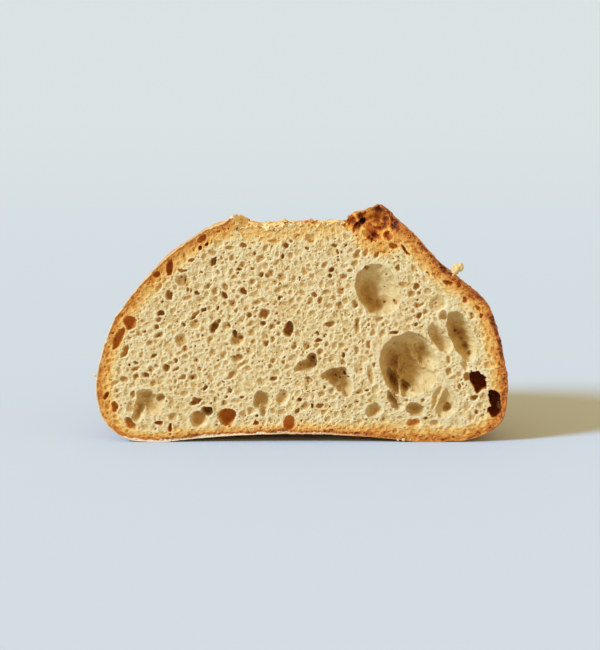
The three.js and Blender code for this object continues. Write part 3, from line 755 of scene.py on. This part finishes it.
def baked_band(sheet):
    """Adds the bake of the crust as seen in the cut, and the flour on its outer edge. The bake
    is the higher of a strong band, a weak wide one and a patch round the ear, each fading
    inwards. It differs by the part of the edge, which is found from the angle round the
    belly's middle: darkest on the right, palest on top."""
    angle = np.degrees(np.arctan2(PLAIN_Z - BELLY_HEIGHT, PLAIN_X))
    right = ease(angle, -40, -5) * (1 - ease(angle, 50, 62))
    slope = ease(angle, 30, 45) * (1 - ease(angle, 62, 72))
    foot = ease(-angle, 20, 60) * (1 - ease(-angle, 150, 172))
    top = ease(angle, 66, 76) * (1 - ease(angle, 108, 116))
    left = ease(np.abs(angle), 112, 130)
    under = UNDER_CRUST + 0.7 * sheet_noise(3.4, 61) + 0.3 * sheet_noise(1.2, 62)
    width = 2.4 + 1.0 * slope + 0.3 * right - 0.8 * foot
    bake = (0.52 - 0.30 * top) * (1 - ease(under, width, 2.4 * width))
    bake = np.maximum(bake, (0.44 - 0.14 * top) * (1 - ease(under, width, 13.0 - 5.0 * foot)))
    from_ear = np.hypot((PLAIN_X - 36.0) / 15.0, (PLAIN_Z - 98.0) / 13.0)
    bake = np.maximum(bake, 0.40 * (1 - ease(from_ear, 0.72, 1.2)))
    bake *= 1 + 0.16 * sheet_noise(1.0, 63) + 0.20 * sheet_noise(2.3, 64)
    bake += 0.16 * right * (1 - ease(under, 0.9, 3.0)) + 0.12 * slope * (1 - ease(under, 0.3, 1.5))
    bake += 0.16 * foot * (1 - ease(under, 1.6, 2.6))
    scorched = ease(sheet_noise(5.0, 67), 0.0, 0.5) * (1 - ease(under, 1.0, 3.4))
    bake += 0.20 * right * scorched * (1 - slope)
    specks = ease(sheet_noise(0.7, 65), 0.30, 0.6) * ease(bake, 0.25, 0.5)
    bake += 0.16 * specks * (1 - 0.7 * left)
    toasted = np.maximum(ease(sheet["toast"], 0.3, 0.5), sheet["ear"])
    sheet["bake"] = np.clip(np.maximum(bake, 0) * (1 - toasted) + sheet["toast"], 0, 1)
    edge = 0.62 * left * (1 - ease(under, 0.4, 1.3)) + 0.66 * foot * (1 - ease(under, 0.7, 1.5))
    sheet["flour"] = np.clip(edge, 0, 1)


def cut_sheet():
    """The whole cut face."""
    sheet = new_sheet()
    ear_pocket(sheet)
    upper_hole(sheet)
    large_hole(sheet)
    side_holes(sheet)
    middle_holes(sheet)
    corner_holes(sheet)
    named_cells(sheet)
    packed_cells(sheet)
    inner_windows(sheet)
    torn_walls(sheet)
    baked_band(sheet)
    return sheet


def read_sheet(values, x, z):
    """The value of a sheet's array at any places, weighed from the four nearest steps."""
    column = np.clip((x - SHEET_LEFT) / SHEET_STEP, 0, len(SHEET_X) - 1.001)
    row = np.clip((z - SHEET_FOOT) / SHEET_STEP, 0, len(SHEET_Z) - 1.001)
    i, j = row.astype(int), column.astype(int)
    v, u = row - i, column - j
    return ((values[i, j] * (1 - u) + values[i, j + 1] * u) * (1 - v)
            + (values[i + 1, j] * (1 - u) + values[i + 1, j + 1] * u) * v)


# Meshes.

def new_piece(name, points, faces, material, shares, flat=0):
    """Puts points in millimetres and faces into a mesh in metres. shares are values for each
    point that the material reads, and the last faces, as many as flat says, are flat-shaded."""
    mesh = bpy.data.meshes.new(name)
    placed = np.array(points, dtype=np.float64)
    placed[:, 1] += CUT_Y
    placed[:, 2] *= UPRIGHT
    corners = np.concatenate([np.asarray(group).ravel() for group in faces])
    sizes = np.concatenate([np.full(len(group), group.shape[1]) for group in faces])
    mesh.vertices.add(len(placed))
    mesh.vertices.foreach_set("co", (placed * 0.001).ravel())
    mesh.loops.add(len(corners))
    mesh.loops.foreach_set("vertex_index", corners.astype(np.int32))
    mesh.polygons.add(len(sizes))
    starts = np.concatenate([[0], np.cumsum(sizes)[:-1]])
    mesh.polygons.foreach_set("loop_start", starts.astype(np.int32))
    for share, values in shares.items():
        layer = mesh.attributes.new(share, "FLOAT", "POINT")
        layer.data.foreach_set("value", np.broadcast_to(values, len(placed)).astype(np.float32))
    mesh.update(calc_edges=True)
    sharp = np.zeros(len(sizes), bool)
    sharp[len(sizes) - flat:] = True
    mesh.attributes.new("sharp_face", "BOOLEAN", "FACE").data.foreach_set("value", sharp)
    mesh.validate()
    mesh.materials.append(material)
    piece = bpy.data.objects.new(name, mesh)
    bpy.context.scene.collection.objects.link(piece)
    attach(piece, "root")
    return piece


def disc_grid(steps):
    """A square grid bent into a disc with no pole: across is u times the root of one less half
    of v squared, and up the same with u and v changed over. Gives the angle and the radius."""
    side = np.linspace(-1, 1, steps + 1)
    u, v = np.meshgrid(side, side)
    across = u * np.sqrt(1 - v * v / 2)
    up = v * np.sqrt(1 - u * u / 2)
    return np.arctan2(up, across), np.clip(np.hypot(across, up), 0, 1)


def grid_quads(rows, columns):
    """The four-cornered faces of a grid of points, turned towards the front."""
    index = np.arange(rows * columns).reshape(rows, columns)
    return np.stack([index[:-1, :-1], index[:-1, 1:], index[1:, 1:], index[1:, :-1]], -1).reshape(-1, 4)


def grid_edge(rows, columns):
    """The points round a grid's edge in turn, from the lower left along the foot."""
    index = np.arange(rows * columns).reshape(rows, columns)
    return np.concatenate([index[0, :-1], index[:-1, -1], index[-1, :0:-1], index[:0:-1, 0]])


def closed_sheet(points, rows, columns, back_edge, back_middle):
    """Points and faces of a closed solid: a grid in front, a wall round it to back_edge, and a
    fan there round back_middle. The last number says how many faces the wall and fan have."""
    edge = grid_edge(rows, columns)
    count = len(points)
    behind = count + np.arange(len(edge))
    everything = np.concatenate([points, back_edge, back_middle[None]])
    following = np.roll(edge, -1)
    behind_following = np.roll(behind, -1)
    wall = np.stack([following, edge, behind, behind_following], -1)
    middle = np.full(len(edge), count + len(edge))
    fan = np.stack([middle, behind_following, behind], -1)
    return everything, [grid_quads(rows, columns), wall, fan], len(wall) + len(fan)


def rim_places(sheet, angle):
    """The crust's front edge at each angle: x, depth and z, set back where the ear's pocket is
    open at the top."""
    x, _, z, _, _ = crust_skin(angle, np.zeros_like(angle))
    inside = 0.995
    depth = read_sheet(sheet["depth"], x * inside, BELLY_HEIGHT + (z - BELLY_HEIGHT) * inside)
    open_top = ease(x, 16, 19) * (1 - ease(x, 46, 49)) * ease(z, 90, 94)
    depth = np.clip(depth * open_top, 0, 8)
    x, _, z, _, _ = crust_skin(angle, depth / LOAF_DEPTH)
    return x, depth, z


def make_crumb(sheet, material):
    """The crumb: the disc grid drawn out to the crust's edge, with the sheet's depths pressed
    in, divided into upright strips, each closed behind. Away from the edge the grid follows
    the smooth reach, so that the crust's roughness doesn't crease it."""
    angle, share = disc_grid(CRUMB_STEPS)
    edge_x, edge_depth, edge_z = rim_places(sheet, angle)
    inset = 1 - CRUMB_INSET / np.hypot(edge_x, edge_z - BELLY_HEIGHT)
    reach = smooth_reach(angle) - 0.8
    near_edge = ease(share, 0.86, 1.0)
    edge_up = (edge_z - BELLY_HEIGHT) * inset
    x = share * between(reach * np.cos(angle), edge_x * inset, near_edge)
    z = BELLY_HEIGHT + share * between(reach * np.sin(angle), edge_up, near_edge)
    depth = read_sheet(sheet["depth"], x, z)
    at_edge = ease(share, 0.992, 1.0)
    depth = between(depth, edge_depth + 0.05, at_edge)
    columns = np.linspace(0, CRUMB_STEPS, CRUMB_PIECES + 1).astype(int)
    for number, (first, last) in enumerate(zip(columns, columns[1:]), 1):
        part = (slice(None), slice(first, last + 1))
        rows, width = x[part].shape
        points = np.stack([x[part], depth[part], z[part]], -1).reshape(-1, 3)
        edge = points[grid_edge(rows, width)]
        behind = edge * (1 - CRUMB_TAPER)
        behind[:, 1] = CRUMB_THICKNESS
        behind[:, 2] += BELLY_HEIGHT * CRUMB_TAPER
        solid, faces, flat = closed_sheet(points, rows, width, behind, behind.mean(axis=0))
        shares = {}
        for name in ("shade_and_tone", "lined", "bake", "flour"):
            values = read_sheet(sheet[name], points[:, 0], points[:, 2])
            shares[name] = np.concatenate([values, np.zeros(len(solid) - len(points))])
        piece = new_piece(f"crumb_{number}", solid, faces, material, shares, flat)
        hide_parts("half_loaf")


def ring_faces(rows, turns):
    """Faces of rings joined into a closed tube: every ring to the next, the last to the first."""
    ring = np.arange(rows)[:, None] * turns
    turn = np.arange(turns)[None]
    next_ring = np.roll(ring, -1, axis=0)
    next_turn = np.roll(turn, -1, axis=1)
    return np.stack([ring + turn, next_ring + turn, next_ring + next_turn, ring + next_turn],
                    -1).reshape(-1, 4)


def make_rim(sheet, material):
    """The crust's front part: rings of the skin from the cut's edge back, turned in at the edge,
    and closed by a flat back and an inner wall round the crumb."""
    steps = BACK_GRID
    turn, _ = disc_grid(steps)
    angle = turn.reshape(-1)[grid_edge(steps + 1, steps + 1)]
    _, edge_depth, _ = rim_places(sheet, angle)
    rings = []

    def drawn_in(amount, y):
        """A ring inside the cut's edge by that amount, and narrower the further back it is."""
        x, _, z, bake, flour = crust_skin(angle, edge_depth / LOAF_DEPTH)
        reach = np.hypot(x, z - BELLY_HEIGHT)
        scale = 1 - amount / reach - WALL_TAPER * (y - edge_depth) / CRUMB_THICKNESS
        rings.append((x * scale, y, BELLY_HEIGHT + (z - BELLY_HEIGHT) * scale, bake, flour))

    drawn_in(0.40, edge_depth + 0.30)
    drawn_in(0.20, edge_depth + 0.03)
    for row in range(RIM_ROWS + 1):
        y = between(edge_depth + 0.12, RIM_DEPTH, (row / RIM_ROWS) ** 1.15)
        rings.append(crust_skin(angle, y / LOAF_DEPTH))
    drawn_in(0.25, np.full(len(angle), RIM_DEPTH))
    x, y, z, bake, flour = (np.concatenate(values) for values in zip(*rings))
    piece = new_piece("crust_rim", np.stack([x, y, z], -1), [ring_faces(len(rings), len(angle))],
                      material, {"bake": bake, "flour": flour})
    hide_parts("half_loaf")


def make_back(material):
    """The crust's back: the disc grid bent over the rounded form from the rim to the back point,
    closed by a flat fan in front."""
    steps = BACK_GRID
    angle, share = disc_grid(steps)
    angle, share = angle[:, ::-1], share[:, ::-1]
    power = between(SIDE_POWER, FOOT_POWER, ease(-np.sin(angle), 0.1, 0.75))
    start = np.arcsin((RIM_DEPTH / LOAF_DEPTH) ** (power / 2))
    quarter = math.pi / 2 - share * (math.pi / 2 - start)
    x, y, z, bake, flour = crust_skin(angle, np.sin(quarter) ** (2 / power))
    points = np.stack([x, y, z], -1).reshape(-1, 3)
    rows = columns = steps + 1
    edge = grid_edge(rows, columns)
    solid = np.concatenate([points, [[0.0, RIM_DEPTH, BELLY_HEIGHT]]])
    middle = np.full(len(edge), len(points))
    fan = np.stack([middle, np.roll(edge, -1), edge], -1)
    shares = {"bake": np.append(bake, 0.0), "flour": np.append(flour, 0.0)}
    piece = new_piece("crust_back", solid, [grid_quads(rows, columns), fan], material, shares, len(fan))
    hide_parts("half_loaf")


def make_flakes(material):
    """Brittle flakes that stand up in the torn bloom: each is a bent six-sided chip, thicker at
    its foot, turned at random and set into the skin."""
    count = 340
    y = DRAW.uniform(0, 1, count) ** 2.2 * 70
    u = DRAW.uniform(-1.0, 1.0, count)
    fade = 1 - (y / SCORE["length"]) ** 2
    wanted = SCORE["middle"] + SCORE["drift"] * y + u * (SCORE["half_width"] * np.sqrt(fade) + 1)
    angle = np.arctan2(70.0, wanted)
    for _ in range(4):
        x, _, z = crust_point(angle, y / LOAF_DEPTH)
        angle = np.arctan2(z - BELLY_HEIGHT, wanted)
    x, y, z, bake, _ = crust_skin(angle, y / LOAF_DEPTH)
    size = DRAW.uniform(0.3, 1.0, count) ** 2.0 * 2.0
    turn = DRAW.uniform(0, 2 * math.pi, count)
    lean = DRAW.normal(0, 0.55, count)
    corner = np.linspace(0, 2 * math.pi, 6, endpoint=False)
    reach = DRAW.uniform(0.6, 1.15, (count, 6))
    across = reach * np.cos(corner) * size[:, None]
    up = reach * np.sin(corner) * size[:, None] * 0.75
    bend = 0.25 * across**2 / size[:, None]
    thick = 0.09 + 0.05 * (up < 0)
    layers = []
    for side in (-1, 1):
        out = bend + side * thick
        tall = up * np.cos(lean)[:, None] - out * np.sin(lean)[:, None]
        flat = up * np.sin(lean)[:, None] + out * np.cos(lean)[:, None]
        px = x[:, None] + across * np.cos(turn)[:, None] - flat * np.sin(turn)[:, None]
        py = y[:, None] + across * np.sin(turn)[:, None] + flat * np.cos(turn)[:, None]
        layers.append(np.stack([px, np.maximum(py, 0.05), z[:, None] + tall + 0.1], -1))
    points = np.concatenate(layers, axis=1).reshape(-1, 3)
    base = np.arange(count)[:, None] * 12
    front = base + np.arange(6)
    rear = base + 6 + np.arange(5, -1, -1)
    side = np.arange(6)
    following = (side + 1) % 6
    sides = np.stack([base + following, base + side, base + 6 + side, base + 6 + following], -1)
    tone = np.repeat(np.clip(bake + DRAW.uniform(-0.05, 0.6, count) ** 2, 0, 1), 12)
    sides = sides.reshape(-1, 4)
    new_piece("bloom_flakes", points, [front, rear, sides], material, {"bake": tone, "flour": 0.0},
              len(sides))


def lump(middle, size, rough, seed):
    """A rough lump with closed poles: a ball drawn out to its size, its radius changed by smooth
    and ridged noise. Returns points and faces."""
    rows, turns = 40, 60
    down = np.linspace(0, math.pi, rows + 2)[1:-1][:, None]
    round_it = np.linspace(0, 2 * math.pi, turns, endpoint=False)[None]
    ball = np.stack([np.sin(down) * np.cos(round_it), np.sin(down) * np.sin(round_it),
                     np.cos(down) + 0 * round_it], -1).reshape(-1, 3)
    ball = np.concatenate([ball, [[0, 0, 1], [0, 0, -1]]])
    shape = ball * np.array(size) / 2
    place = shape.T + 50
    grown = 1 + rough * (unevenness(*place, 1.9, seed) + 0.7 * torn(*place, 1.0, seed + 1) - 0.4)
    points = shape * grown[:, None] + np.array(middle)
    grid = np.arange(rows * turns).reshape(rows, turns)
    after = np.roll(grid, -1, axis=1)
    quads = np.stack([grid[:-1], grid[1:], after[1:], after[:-1]], -1).reshape(-1, 4)
    top = np.stack([np.full(turns, rows * turns), grid[0], after[0]], -1)
    foot = np.stack([np.full(turns, rows * turns + 1), after[-1], grid[-1]], -1)
    return points, [quads, top, foot]


def make_crumbs(material):
    """Loose crumbs: one stuck to the right slope, small ones at the foot and one on the left."""
    places = (
        ((70.2, 1.6, 79.0), (4.8, 3.6, 4.6), 0.42), ((72.6, 1.7, 80.0), (3.0, 2.6, 3.4), 0.4),
        ((68.6, 1.8, 77.4), (3.2, 2.6, 2.6), 0.4), ((-94.6, 1.0, 31.0), (2.6, 1.8, 1.5), 0.4),
        ((47.0, 0.4, 1.0), (1.5, 1.2, 1.3), 0.4), ((44.4, 0.2, 1.0), (1.0, 0.9, 1.0), 0.4),
        ((50.2, 0.3, 1.0), (0.9, 0.9, 0.9), 0.4),
    )
    for number, (middle, size, rough) in enumerate(places, 1):
        points, faces = lump(middle, size, rough, 70 + 3 * number)
        points[:, 2] = np.maximum(points[:, 2], 0.0)
        shares = {"shade_and_tone": 0.30, "lined": 0.0, "bake": 0.06, "flour": 0.0}
        new_piece(f"loose_crumb_{number}", points, faces, material, shares)


# Finishes.

def add_node(tree, kind, settings=None, **values):
    """A node with its settings, and its inputs' values by name."""
    node = tree.nodes.new(kind)
    for name, value in (settings or {}).items():
        setattr(node, name, value)
    for name, value in values.items():
        node.inputs[name.replace("_", " ")].default_value = value
    return node


def join(tree, value, socket):
    """Links a socket to an input, or sets the input to a plain value."""
    if isinstance(value, bpy.types.NodeSocket):
        tree.links.new(value, socket)
    else:
        socket.default_value = value


def add_math(tree, operation, first, second, clamp=False):
    """A sum, product or other step on two values or sockets."""
    node = tree.nodes.new("ShaderNodeMath")
    node.operation = operation
    node.use_clamp = clamp
    for socket, value in zip(node.inputs, (first, second)):
        join(tree, value, socket)
    return node.outputs[0]


def add_mix(tree, factor, first, second):
    """Mixes two colours, each given as a colour or a socket. The node's inputs for colours are
    its seventh and eighth, and its third output is the mixed colour."""
    node = tree.nodes.new("ShaderNodeMix")
    node.data_type = "RGBA"
    for number, value in ((0, factor), (6, first), (7, second)):
        join(tree, value, node.inputs[number])
    return node.outputs[2]


def add_share(tree, name):
    """A value that the piece's points carry."""
    node = tree.nodes.new("ShaderNodeAttribute")
    node.attribute_name = name
    return node.outputs["Fac"]


def add_pattern(tree, kind, **values):
    """A node that works on the object's own coordinates, with values or sockets for its other
    inputs."""
    place = tree.nodes.new("ShaderNodeTexCoord")
    node = tree.nodes.new(kind)
    tree.links.new(place.outputs["Object"], node.inputs["Vector"])
    for name, value in values.items():
        join(tree, value, node.inputs[name])
    return node


def spread(tree, value, start, end, low=0.0, high=1.0):
    """Maps a value from start..end to low..high with an eased step, held at both ends."""
    node = add_node(tree, "ShaderNodeMapRange", {"interpolation_type": "SMOOTHSTEP"},
                    From_Min=start, From_Max=end, To_Min=low, To_Max=high)
    tree.links.new(value, node.inputs["Value"])
    return node.outputs[0]


def new_group(name, inputs, outputs):
    """An empty node group with named sockets, each given as its name and kind, and the nodes
    for what goes in and out."""
    group = bpy.data.node_groups.new(name, "ShaderNodeTree")
    for side, sockets in (("INPUT", inputs), ("OUTPUT", outputs)):
        for socket, kind in sockets:
            group.interface.new_socket(socket, in_out=side, socket_type=f"NodeSocket{kind}")
    return group, group.nodes.new("NodeGroupInput"), group.nodes.new("NodeGroupOutput")


BAKE_COLOURS = (  # how far it is baked, and its colour, from pale crumb to burnt
    (0.00, (0.850, 0.650, 0.350)), (0.20, (0.830, 0.560, 0.215)), (0.40, (0.770, 0.410, 0.095)),
    (0.60, (0.610, 0.215, 0.031)), (0.72, (0.470, 0.128, 0.017)), (0.86, (0.220, 0.044, 0.006)),
    (1.00, (0.075, 0.018, 0.005)),
)
TORN_COLOURS = (  # the same for crust that tore open and took the most heat, redder
    (0.00, (0.880, 0.560, 0.180)), (0.35, (0.840, 0.390, 0.062)), (0.55, (0.640, 0.200, 0.024)),
    (0.75, (0.320, 0.065, 0.008)), (1.00, (0.070, 0.014, 0.004)),
)
CRUMB_COLOURS = (  # how dark a hollow is painted with shade, and its colour
    (0.00, (0.775, 0.595, 0.325)), (0.30, (0.700, 0.475, 0.190)), (0.60, (0.530, 0.275, 0.075)),
    (0.82, (0.400, 0.145, 0.024)), (1.00, (0.220, 0.058, 0.008)),
)
SKIN_COLOURS = (  # the same for the smooth skin that lines the large holes
    (0.00, (0.680, 0.465, 0.190)), (0.35, (0.530, 0.305, 0.085)), (0.70, (0.325, 0.145, 0.028)),
    (1.00, (0.130, 0.050, 0.012)),
)


def colour_stops(tree, value, colours):
    """A colour for a value from 0 to 1, blended between the named stops."""
    ramp = tree.nodes.new("ShaderNodeValToRGB")
    stops = ramp.color_ramp.elements
    while len(stops) < len(colours):
        stops.new(0.5)
    for stop, (position, colour) in zip(stops, colours):
        stop.position = position
        stop.color = (*colour, 1.0)
    tree.links.new(value, ramp.inputs["Fac"])
    return ramp.outputs["Color"]


def unevenly(group, given, name):
    """The group's value of that name, with noise of the given size added in the given share."""
    noise = add_pattern(group, "ShaderNodeTexNoise", Scale=given.outputs["Size"], Detail=3.0,
                        Roughness=0.6)
    centred = add_math(group, "SUBTRACT", noise.outputs["Fac"], 0.5)
    shift = add_math(group, "MULTIPLY", centred, given.outputs["Uneven"])
    return add_math(group, "ADD", given.outputs[name], shift, clamp=True)


def baking_group():
    """Colour of bread for how far it is baked, with an uneven share added to it, and how much
    of it is torn open."""
    group, given, made = new_group(
        "Baking", (("Bake", "Float"), ("Torn", "Float"), ("Uneven", "Float"), ("Size", "Float")),
        (("Color", "Color"),))
    bake = unevenly(group, given, "Bake")
    colour = add_mix(group, given.outputs["Torn"], colour_stops(group, bake, BAKE_COLOURS),
                     colour_stops(group, bake, TORN_COLOURS))
    group.links.new(colour, made.inputs["Color"])
    return group


def cells_group():
    """Colour of the crumb for its painted shade, brown and dark inside the hollows, with the skin
    of the large holes mixed in.
    """
    group, given, made = new_group(
        "Crumb cells", (("Shade", "Float"), ("Lined", "Float"), ("Uneven", "Float"), ("Size", "Float")),
        (("Color", "Color"),))
    shade_and_tone = unevenly(group, given, "Shade")
    colour = add_mix(group, given.outputs["Lined"], colour_stops(group, shade_and_tone, CRUMB_COLOURS),
                     colour_stops(group, shade_and_tone, SKIN_COLOURS))
    group.links.new(colour, made.inputs["Color"])
    return group


def flour_group():
    """A mask of dusted flour: speckled where there is little, closed where there is much."""
    group, given, made = new_group(
        "Flour", (("Amount", "Float"), ("Size", "Float")), (("Mask", "Float"),))
    noise = add_pattern(group, "ShaderNodeTexNoise", Scale=given.outputs["Size"], Detail=4.0,
                        Roughness=0.75)
    level = add_math(group, "ADD", noise.outputs["Fac"], given.outputs["Amount"])
    mask = spread(group, level, 0.88, 1.35)
    group.links.new(mask, made.inputs["Mask"])
    return group


def grain_group():
    """Fine grain of bread as a height."""
    group, given, made = new_group("Bread grain", (("Size", "Float"),), (("Height", "Float"),))
    noise = add_pattern(group, "ShaderNodeTexNoise", Scale=given.outputs["Size"], Detail=5.0,
                        Roughness=0.7)
    group.links.new(noise.outputs["Fac"], made.inputs["Height"])
    return group


def use_group(tree, group, **values):
    """Places a group in a material, with values or sockets for its inputs."""
    node = tree.nodes.new("ShaderNodeGroup")
    node.node_tree = group
    for name, value in values.items():
        join(tree, value, node.inputs[name])
    return node.outputs[0]


def new_material(name, roughness, specular):
    """A material with one Principled shader, and its node tree."""
    material = bpy.data.materials.new(name)
    material.use_nodes = True
    shader = material.node_tree.nodes["Principled BSDF"]
    shader.inputs["Roughness"].default_value = roughness
    shader.inputs["Specular IOR Level"].default_value = specular
    return material, material.node_tree, shader


def finish_surface(tree, shader, colour, height, strength, distance):
    """Joins the colour and a bumped normal to the shader."""
    bump = add_node(tree, "ShaderNodeBump", Strength=strength, Distance=distance)
    tree.links.new(height, bump.inputs["Height"])
    tree.links.new(colour, shader.inputs["Base Color"])
    tree.links.new(bump.outputs["Normal"], shader.inputs["Normal"])


FLOUR_COLOUR = (0.80, 0.60, 0.36, 1.0)
BRAN_COLOUR = (0.20, 0.09, 0.03, 1.0)


def crumb_material(groups):
    """Pale crumb: cream walls, cells painted warmer and browner inwards as shade, olive skins in
    the large holes, dark bran, and the baked band with its floured edge. The painted shade also
    darkens the baked band."""
    material, tree, shader = new_material("cream_crumb", 0.86, 0.22)
    bake, shade_and_tone = add_share(tree, "bake"), add_share(tree, "shade_and_tone")
    lined, flour = add_share(tree, "lined"), add_share(tree, "flour")
    # painted shade darkens the baked colour too
    darker = add_math(tree, "ADD", bake, add_math(tree, "MULTIPLY", shade_and_tone, 0.24))
    baked = use_group(tree, groups["baking"], Bake=darker, Torn=lined, Uneven=0.16, Size=900.0)
    crumb = use_group(tree, groups["cells"], Shade=shade_and_tone, Lined=lined, Uneven=0.14, Size=900.0)
    skin = add_mix(tree, spread(tree, bake, 0.02, 0.40), crumb, baked)
    bran = add_pattern(tree, "ShaderNodeTexVoronoi", Scale=520.0, Randomness=1.0)
    near = spread(tree, bran.outputs["Distance"], 0.16, 0.30, 1.0, 0.0)
    chosen = add_node(tree, "ShaderNodeSeparateColor")
    tree.links.new(bran.outputs["Color"], chosen.inputs["Color"])
    rare = add_math(tree, "GREATER_THAN", chosen.outputs["Red"], 0.94)
    speck = add_math(tree, "MULTIPLY", add_math(tree, "MULTIPLY", near, rare), 0.5)
    dotted = add_mix(tree, speck, skin, BRAN_COLOUR)
    dust = use_group(tree, groups["flour"], Amount=flour, Size=1400.0)
    colour = add_mix(tree, dust, dotted, FLOUR_COLOUR)
    finish_surface(tree, shader, colour, use_group(tree, groups["grain"], Size=2600.0), 0.25, 0.00014)
    return material


def crust_material(groups):
    """Baked skin: golden to dark brown in uneven patches, with dark freckles and dusted flour."""
    material, tree, shader = new_material("baked_crust", 0.62, 0.35)
    bake, flour = add_share(tree, "bake"), add_share(tree, "flour")
    freckle = add_pattern(tree, "ShaderNodeTexNoise", Scale=620.0, Detail=2.0, Roughness=0.5)
    dots = spread(tree, freckle.outputs["Fac"], 0.60, 0.72, 0.0, 0.12)
    total = add_math(tree, "ADD", bake, dots)
    bread = use_group(tree, groups["baking"], Bake=total, Torn=0.0, Uneven=0.22, Size=260.0)
    dust = use_group(tree, groups["flour"], Amount=flour, Size=520.0)
    colour = add_mix(tree, add_math(tree, "MULTIPLY", dust, 0.75), bread, FLOUR_COLOUR)
    rough = spread(tree, dust, 0.0, 1.0, 0.55, 0.92)
    tree.links.new(rough, shader.inputs["Roughness"])
    finish_surface(tree, shader, colour, use_group(tree, groups["grain"], Size=1500.0), 0.5, 0.00035)
    return material


# The stage, the light and the camera.

FLOOR_NEAR = (0.560, 0.600, 0.640, 1.0)
FLOOR_FAR = (0.603, 0.637, 0.653, 1.0)
SKY_COLOUR = (0.690, 0.745, 0.765, 1.0)
FILL_COLOUR = (1.0, 0.815, 0.446, 1.0)
KEY_COLOUR = (0.44, 0.66, 1.0)
KEY_STRENGTH = 5.33
FILL_STRENGTH = 0.79
KEY_FROM = {"in_front": 29.0, "height": 30.0}  # degrees in front of the cut plane, and above the floor
KEY_SIZE = 16.0  # degrees across
PIXEL_SIZE = 0.4589  # millimetres of the loaf's face that one picture pixel covers
PICTURE_WIDTH = 600
PICTURE_MIDDLE = (-0.9, 54.75)  # place on the cut face at the picture's middle
CAMERA_DISTANCE = 1150.0
CAMERA_RISE = 8.5


def make_stage():
    """A wide pale floor, a little lighter far behind the loaf."""
    half = 30.0
    mesh = bpy.data.meshes.new("floor")
    mesh.from_pydata([(-half, -half, 0), (half, -half, 0), (half, half, 0), (-half, half, 0)], [],
                     [(0, 1, 2, 3)])
    material, tree, shader = new_material("pale_paper", 0.9, 0.1)
    parts = add_pattern(tree, "ShaderNodeSeparateXYZ")
    far = spread(tree, parts.outputs["Y"], 0.1, 2.2)
    tree.links.new(add_mix(tree, far, FLOOR_NEAR, FLOOR_FAR), shader.inputs["Base Color"])
    mesh.materials.append(material)
    floor = bpy.data.objects.new("floor", mesh)
    bpy.context.scene.collection.objects.link(floor)


def make_light():
    """One large soft light from the left, a little in front of the cut, and a soft warm fill
    from all round. The lamp shines straight down unturned, so it is turned from upright to
    its height round a level axis. The camera sees a plain pale sky."""
    turn, rise = math.radians(KEY_FROM["in_front"]), math.radians(KEY_FROM["height"])
    sun = bpy.data.lights.new("key", "SUN")
    sun.energy = KEY_STRENGTH
    sun.color = KEY_COLOUR
    sun.angle = math.radians(KEY_SIZE)
    lamp = bpy.data.objects.new("key", sun)
    lamp.rotation_mode = "AXIS_ANGLE"
    lamp.rotation_axis_angle = (math.pi / 2 - rise, math.sin(turn), -math.cos(turn), 0.0)
    bpy.context.scene.collection.objects.link(lamp)

    world = bpy.data.worlds.new("room")
    world.use_nodes = True
    tree = world.node_tree
    fill = tree.nodes["Background"]
    fill.inputs["Color"].default_value = FILL_COLOUR
    fill.inputs["Strength"].default_value = FILL_STRENGTH
    seen = add_node(tree, "ShaderNodeBackground", Color=SKY_COLOUR, Strength=1.0)
    path = tree.nodes.new("ShaderNodeLightPath")
    mix = tree.nodes.new("ShaderNodeMixShader")
    tree.links.new(path.outputs["Is Camera Ray"], mix.inputs[0])
    tree.links.new(fill.outputs[0], mix.inputs[1])
    tree.links.new(seen.outputs[0], mix.inputs[2])
    tree.links.new(mix.outputs[0], tree.nodes["World Output"].inputs["Surface"])
    bpy.context.scene.world = world


def make_camera():
    """A long lens in front of the cut face, looking down a little, so that one picture pixel
    covers the named size on the face."""
    camera = bpy.data.cameras.new("camera")
    camera.sensor_fit = "HORIZONTAL"
    camera.sensor_width = 36.0
    camera.lens = camera.sensor_width * CAMERA_DISTANCE / (PIXEL_SIZE * PICTURE_WIDTH)
    camera.clip_end = 100.0
    eye = bpy.data.objects.new("camera", camera)
    rise = math.radians(CAMERA_RISE)
    eye.location = (PICTURE_MIDDLE[0] * 0.001,
                    (CUT_Y - CAMERA_DISTANCE * math.cos(rise)) * 0.001,
                    (PICTURE_MIDDLE[1] + CAMERA_DISTANCE * math.sin(rise)) * 0.001)
    eye.rotation_euler = (math.pi / 2 - rise, 0, 0)
    bpy.context.scene.collection.objects.link(eye)
    bpy.context.scene.camera = eye
    bpy.context.scene.view_settings.view_transform = "Standard"


make_camera()
make_stage()
make_light()
shared = {
    "baking": baking_group(), "cells": cells_group(), "flour": flour_group(), "grain": grain_group(),
}
crumb_finish = crumb_material(shared)
crust_finish = crust_material(shared)
face = cut_sheet()
make_crumb(face, crumb_finish)
make_rim(face, crust_finish)
make_back(crust_finish)
make_flakes(crust_finish)
make_crumbs(crumb_finish)
